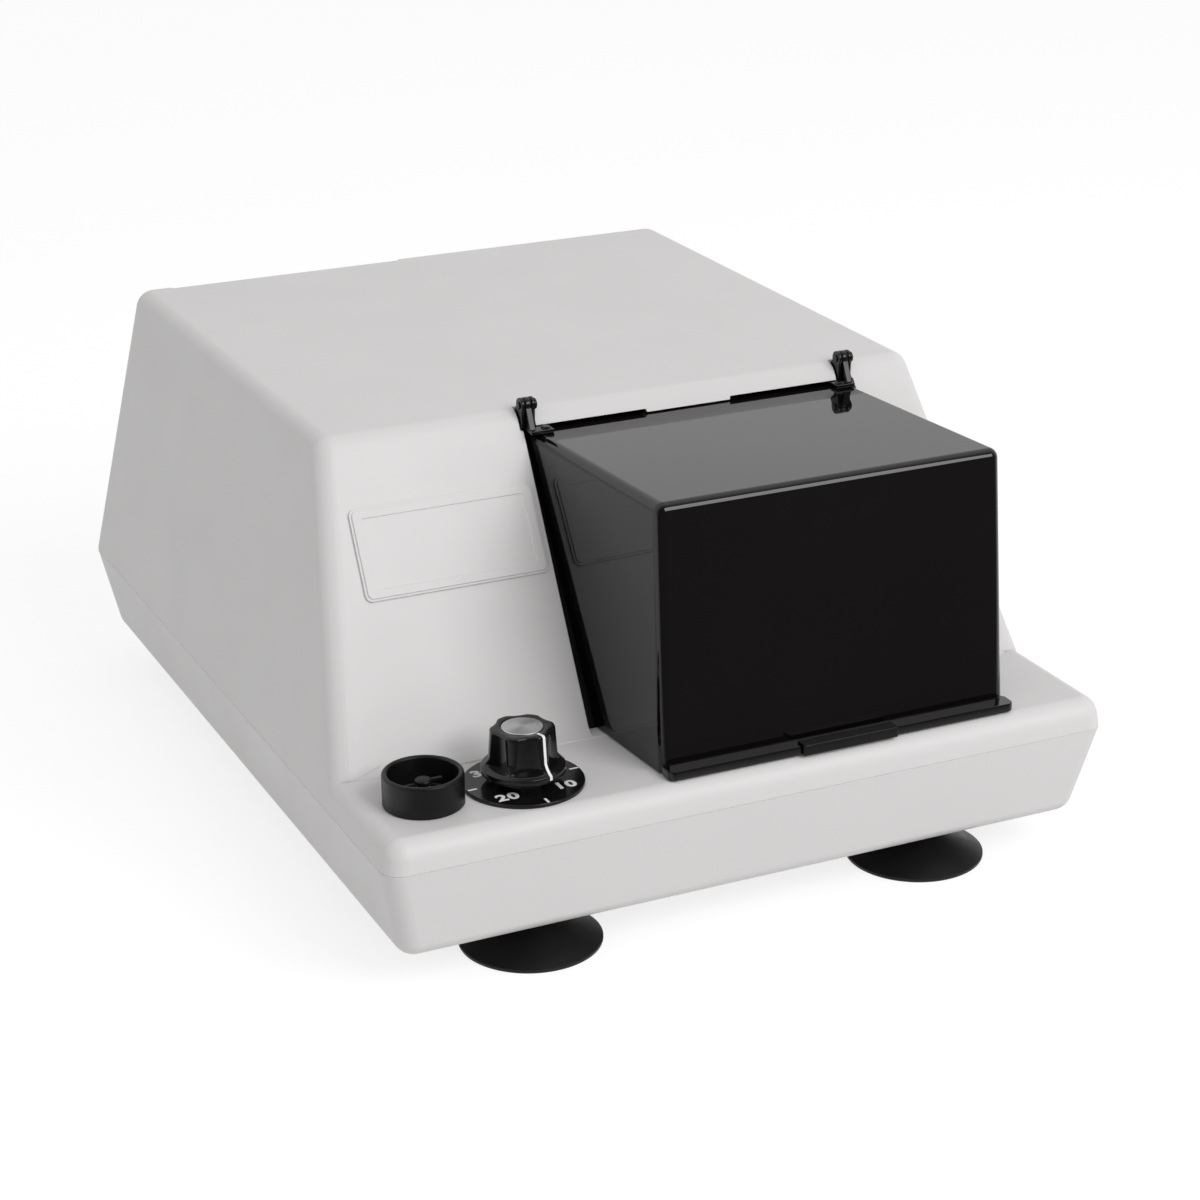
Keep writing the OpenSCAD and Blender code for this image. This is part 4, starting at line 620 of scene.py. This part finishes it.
def cups():
    low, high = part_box("suction_cups")
    h = high.z - low.z
    outer = []
    inner = []
    for i in range(CUP_STEPS + 1):
        u = i / CUP_STEPS
        outer.append((CUP_NECK_R + (CUP_R - CUP_NECK_R) * (1 - u) ** 1.5,
                      CUP_LIP + (h - CUP_LIP - CUP_NECK_H) * u ** 0.9))
        inner.append(((CUP_R - CUP_LIP) * (1 - u), CUP_HOLLOW * u ** 0.8))
    profile = [(0, h), (CUP_NECK_R - CUP_NECK_EDGE, h), (CUP_NECK_R, h - CUP_NECK_EDGE)] + outer[::-1]
    profile += corner(CUP_R - CUP_LIP_ROUND, CUP_LIP_ROUND, CUP_LIP_ROUND, 30, -90, 5)
    profile += inner[:-1] + [(0, CUP_HOLLOW)]
    for side, x in (("left", low.x + CUP_R), ("right", high.x - CUP_R)):
        for end, y in (("front", low.y + CUP_R), ("rear", high.y - CUP_R)):
            name = f"foot_cup_{side}_{end}"
            bm = lathe(profile, (x, y, low.z))
            piece(name, to_mesh(name, bm), "suction_rubber", "suction_cups", angle=60.0)


# Back panel. The blades stand in a box that is measured from the socket's middle and its flange's face.

SOCKET_UP = 6.0 * MM
FLANGE_IN = 2.05 * MM
BLADES_HALF_W = 8.3 * MM
BLADES_BELOW = 4.4 * MM
BLADES_ABOVE = 5.4 * MM
BLADES_ROOT = 14.95 * MM
BLADES_TIP = 1.9 * MM

ROCKER_TIP = 8.0
ROCKER_PIVOT_IN = 1.55 * MM
ROCKER_FACE_SLOPE = math.atan2(1.4, 9.0)
SIGN_UP = 5.0 * MM
SIGN_OUT = 2.98 * MM
SIGN_R = 1.7 * MM
SIGN_RING_R = 1.1 * MM
SIGN_BAR_HALF = 0.35 * MM
SIGN_HALF = 0.03 * MM
RING_STEPS = 32


def inlet():
    """Black socket body with three brass blades standing in it."""
    low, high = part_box("power_inlet")
    x, z = (low.x + high.x) / 2, (low.z + high.z) / 2 + SOCKET_UP
    face = high.y - FLANGE_IN
    body, blades = parted(softened("power_inlet", 0.30 * MM),
                          (x - BLADES_HALF_W, face - BLADES_ROOT, z - BLADES_BELOW),
                          (x + BLADES_HALF_W, face - BLADES_TIP, z + BLADES_ABOVE))
    piece("inlet_body", body, "satin_black", "power_inlet")
    piece("inlet_blades", blades, "brass", "power_inlet")


def bar_sign():
    """The bar that means on, as one four-cornered loop."""
    return [[(-SIGN_BAR_HALF, -SIGN_R), (SIGN_BAR_HALF, -SIGN_R), (SIGN_BAR_HALF, SIGN_R),
             (-SIGN_BAR_HALF, SIGN_R)]]


def ring_sign():
    """The ring that means off, as a row of four-cornered loops."""
    loops = []
    for i in range(RING_STEPS):
        a, b = 2 * math.pi * i / RING_STEPS, 2 * math.pi * (i + 1) / RING_STEPS
        ends = ((a, SIGN_RING_R), (a, SIGN_R), (b, SIGN_R), (b, SIGN_RING_R))
        loops.append([(r * math.cos(q), r * math.sin(q)) for q, r in ends])
    return loops


def rocker_marks():
    """The plain signs for on and off, printed on the rocker's upper and lower half."""
    low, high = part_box("mains_rocker")
    frame_low, frame_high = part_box("mains_switch")
    x, z = (low.x + high.x) / 2, (frame_low.z + frame_high.z) / 2
    pivot = Vector((x, frame_high.y - ROCKER_PIVOT_IN, z))
    tilt = Matrix.Translation(pivot) @ Matrix.Rotation(math.radians(ROCKER_TIP), 4, "X")
    for name, side, loops in (("on", 1, bar_sign()), ("off", -1, ring_sign())):
        bm = bmesh.new()
        for loop in loops:
            bm.faces.new([bm.verts.new((u, SIGN_HALF, v)) for u, v in loop])
        bmesh.ops.remove_doubles(bm, verts=bm.verts, dist=WELD)
        grown = bmesh.ops.extrude_face_region(bm, geom=bm.faces[:])
        moved = [g for g in grown["geom"] if isinstance(g, bmesh.types.BMVert)]
        bmesh.ops.translate(bm, vec=(0, -2 * SIGN_HALF, 0), verts=moved)
        bmesh.ops.recalc_face_normals(bm, faces=bm.faces)
        lean = Matrix.Rotation(-side * ROCKER_FACE_SLOPE, 4, "X")
        bm.transform(tilt @ Matrix.Translation((0, SIGN_OUT, side * SIGN_UP)) @ lean)
        mesh = to_mesh("rocker_mark_" + name, bm)
        piece("rocker_mark_" + name, mesh, "white_paint", "mains_rocker", replaced=False)


# Skins: the frame's own shapes with their edges broken by a round, in millimetres

SKINS = {
    "upper_shell": (0.35, "shell"),
    "lower_shell": (0.35, "shell"),
    "label_plate": (0.15, "shell"),
    "hood": (0.30, "hood_gloss"),
    "hood_finger_tab": (0.35, "satin_black"),
    "hood_leaves": (0.22, "gloss_black"),
    "hood_rivets": (0.15, "gloss_black"),
    "hinge_brackets": (0.22, "gloss_black"),
    "hinge_pins": (0.15, "gloss_black"),
    "chamber_liner": (0.20, "satin_black"),
    "fuse_drawer": (0.25, "satin_black"),
    "mains_switch": (0.25, "satin_black"),
    "mains_rocker": (0.30, "gloss_black"),
    "shaker_arm": (0.30, "die_cast"),
    "clip_jaw": (0.30, "die_cast"),
    "arm_hub": (0.40, "die_cast"),
}

dial()
dial_marks()
knob()
knob_cap()
knob_pointer()
guard_cup()
button()
cups()
inlet()
rocker_marks()
for node, (width, material) in SKINS.items():
    piece(node + "_skin", softened(node, width * MM), material, node)
for node, obj in NODES.items():
    if node in SKINS or obj.hide_render:
        continue
    obj.data.materials.clear()
    obj.data.materials.append(MATERIALS[SLOT_OF[node]])


# Studio. The paper and the world are white where they are seen, straight or in a reflection, and dim
# enough as lamps to leave the housing's own grey. In reflections they darken towards the front, where
# a studio is dark behind the camera.

FLOOR_HALF = 6.0
KEY_PLACE = Vector((0.48, -1.20, 1.02))
KEY_TARGET = Vector((0, 0, 0.08))
KEY_SIZE = (0.95, 0.80)
KEY_POWER = 11.1
LIGHT_LEVEL = 0.52
PAPER_LIGHT = 0.8
PAPER_SEEN = 0.35
PAPER_GLOW = 0.77
FRONT_DARK = 0.88

# Where that dark front starts and ends: on the floor in metres, in the world along the ray's Y
FLOOR_FADE = (-0.28, -0.15)
WORLD_FADE = (-0.55, 0.1)


class Rays:
    """Values that tell how a point of the studio is being looked at."""

    def __init__(self, tree):
        self.tree = tree
        path = tree.nodes.new("ShaderNodeLightPath").outputs
        self.glossy = path["Is Glossy Ray"]
        self.seen = self.math("MAXIMUM", self.math("MAXIMUM", path["Is Camera Ray"], self.glossy),
                              path["Is Transmission Ray"])

    def math(self, operation, first, second, third=None):
        node = self.tree.nodes.new("ShaderNodeMath")
        node.operation = operation
        for socket, value in zip(node.inputs, (first, second, third)):
            if value is None:
                continue
            if isinstance(value, (int, float)):
                socket.default_value = value
            else:
                self.tree.links.new(value, socket)
        return node.outputs["Value"]

    def keep(self, place, front, back):
        """1, but for glossy rays a share that falls off from back to front along the place's Y."""
        parts = self.tree.nodes.new("ShaderNodeSeparateXYZ")
        self.tree.links.new(place, parts.inputs["Vector"])
        ramp = self.tree.nodes.new("ShaderNodeMapRange")
        ramp.interpolation_type = "SMOOTHSTEP"
        ramp.inputs["From Min"].default_value = front
        ramp.inputs["From Max"].default_value = back
        ramp.inputs["To Min"].default_value = FRONT_DARK
        ramp.inputs["To Max"].default_value = 0.0
        self.tree.links.new(parts.outputs["Y"], ramp.inputs["Value"])
        return self.math("SUBTRACT", 1.0, self.math("MULTIPLY", self.glossy, ramp.outputs["Result"]))


def pale_floor():
    bm = bmesh.new()
    bmesh.ops.create_grid(bm, x_segments=1, y_segments=1, size=FLOOR_HALF)
    obj = linked("studio_floor", to_mesh("studio_floor", bm))
    material = bpy.data.materials.new("floor_paper")
    material.use_nodes = True
    tree = material.node_tree
    shader = tree.nodes["Principled BSDF"]
    rays = Rays(tree)
    keep = rays.keep(tree.nodes.new("ShaderNodeTexCoord").outputs["Object"], *FLOOR_FADE)
    tone = rays.math("MULTIPLY_ADD", rays.seen, PAPER_SEEN - PAPER_LIGHT, PAPER_LIGHT)
    tree.links.new(rays.math("MULTIPLY", tone, keep), shader.inputs["Base Color"])
    glow = rays.math("MULTIPLY", rays.seen, PAPER_GLOW)
    shader.inputs["Emission Color"].default_value = (1, 1, 1, 1)
    tree.links.new(rays.math("MULTIPLY", glow, keep), shader.inputs["Emission Strength"])
    shader.inputs["Roughness"].default_value = 0.9
    shader.inputs["Specular IOR Level"].default_value = 0.0
    obj.data.materials.append(material)


def key_lamp():
    """A soft box high up on the front right."""
    data = bpy.data.lights.new("softbox_key", "AREA")
    data.shape = "RECTANGLE"
    data.size, data.size_y = KEY_SIZE
    data.energy = KEY_POWER
    obj = linked("softbox_key", data)
    obj.location = KEY_PLACE
    obj.rotation_euler = (KEY_TARGET - KEY_PLACE).to_track_quat("-Z", "Y").to_euler()


def pale_world():
    world = bpy.data.worlds.new("studio_world")
    bpy.context.scene.world = world
    world.use_nodes = True
    tree = world.node_tree
    background = tree.nodes["Background"]
    background.inputs["Color"].default_value = (1.0, 1.0, 1.0, 1)
    rays = Rays(tree)
    keep = rays.keep(tree.nodes.new("ShaderNodeTexCoord").outputs["Generated"], *WORLD_FADE)
    level = rays.math("MULTIPLY_ADD", rays.seen, 1.0 - LIGHT_LEVEL, LIGHT_LEVEL)
    tree.links.new(rays.math("MULTIPLY", level, keep), background.inputs["Strength"])


def camera():
    """Placed by fitting the housing's corners to the photograph."""
    place = Vector((-0.33281, -0.75528, 0.37327))
    target = Vector((-0.04920, -0.13850, 0.10593))
    roll = math.radians(-0.602)
    focal_px, frame_px = 2852.0, 1200.0
    data = bpy.data.cameras.new("camera")
    data.sensor_fit = "HORIZONTAL"
    data.sensor_width = 36.0
    data.lens = data.sensor_width * focal_px / frame_px
    data.clip_end = 30.0
    obj = linked("camera", data)
    back = (place - target).normalized()
    right = Vector((0, 0, 1)).cross(back).normalized()
    up = back.cross(right)
    rolled_right = right * math.cos(roll) + up * math.sin(roll)
    rolled_up = up * math.cos(roll) - right * math.sin(roll)
    turn = Matrix((rolled_right, rolled_up, back)).transposed()
    obj.matrix_world = Matrix.Translation(place) @ turn.to_4x4()
    bpy.context.scene.camera = obj


pale_floor()
pale_world()
key_lamp()
camera()
bpy.context.scene.view_settings.view_transform = "Standard"

bpy.context.view_layer.update()
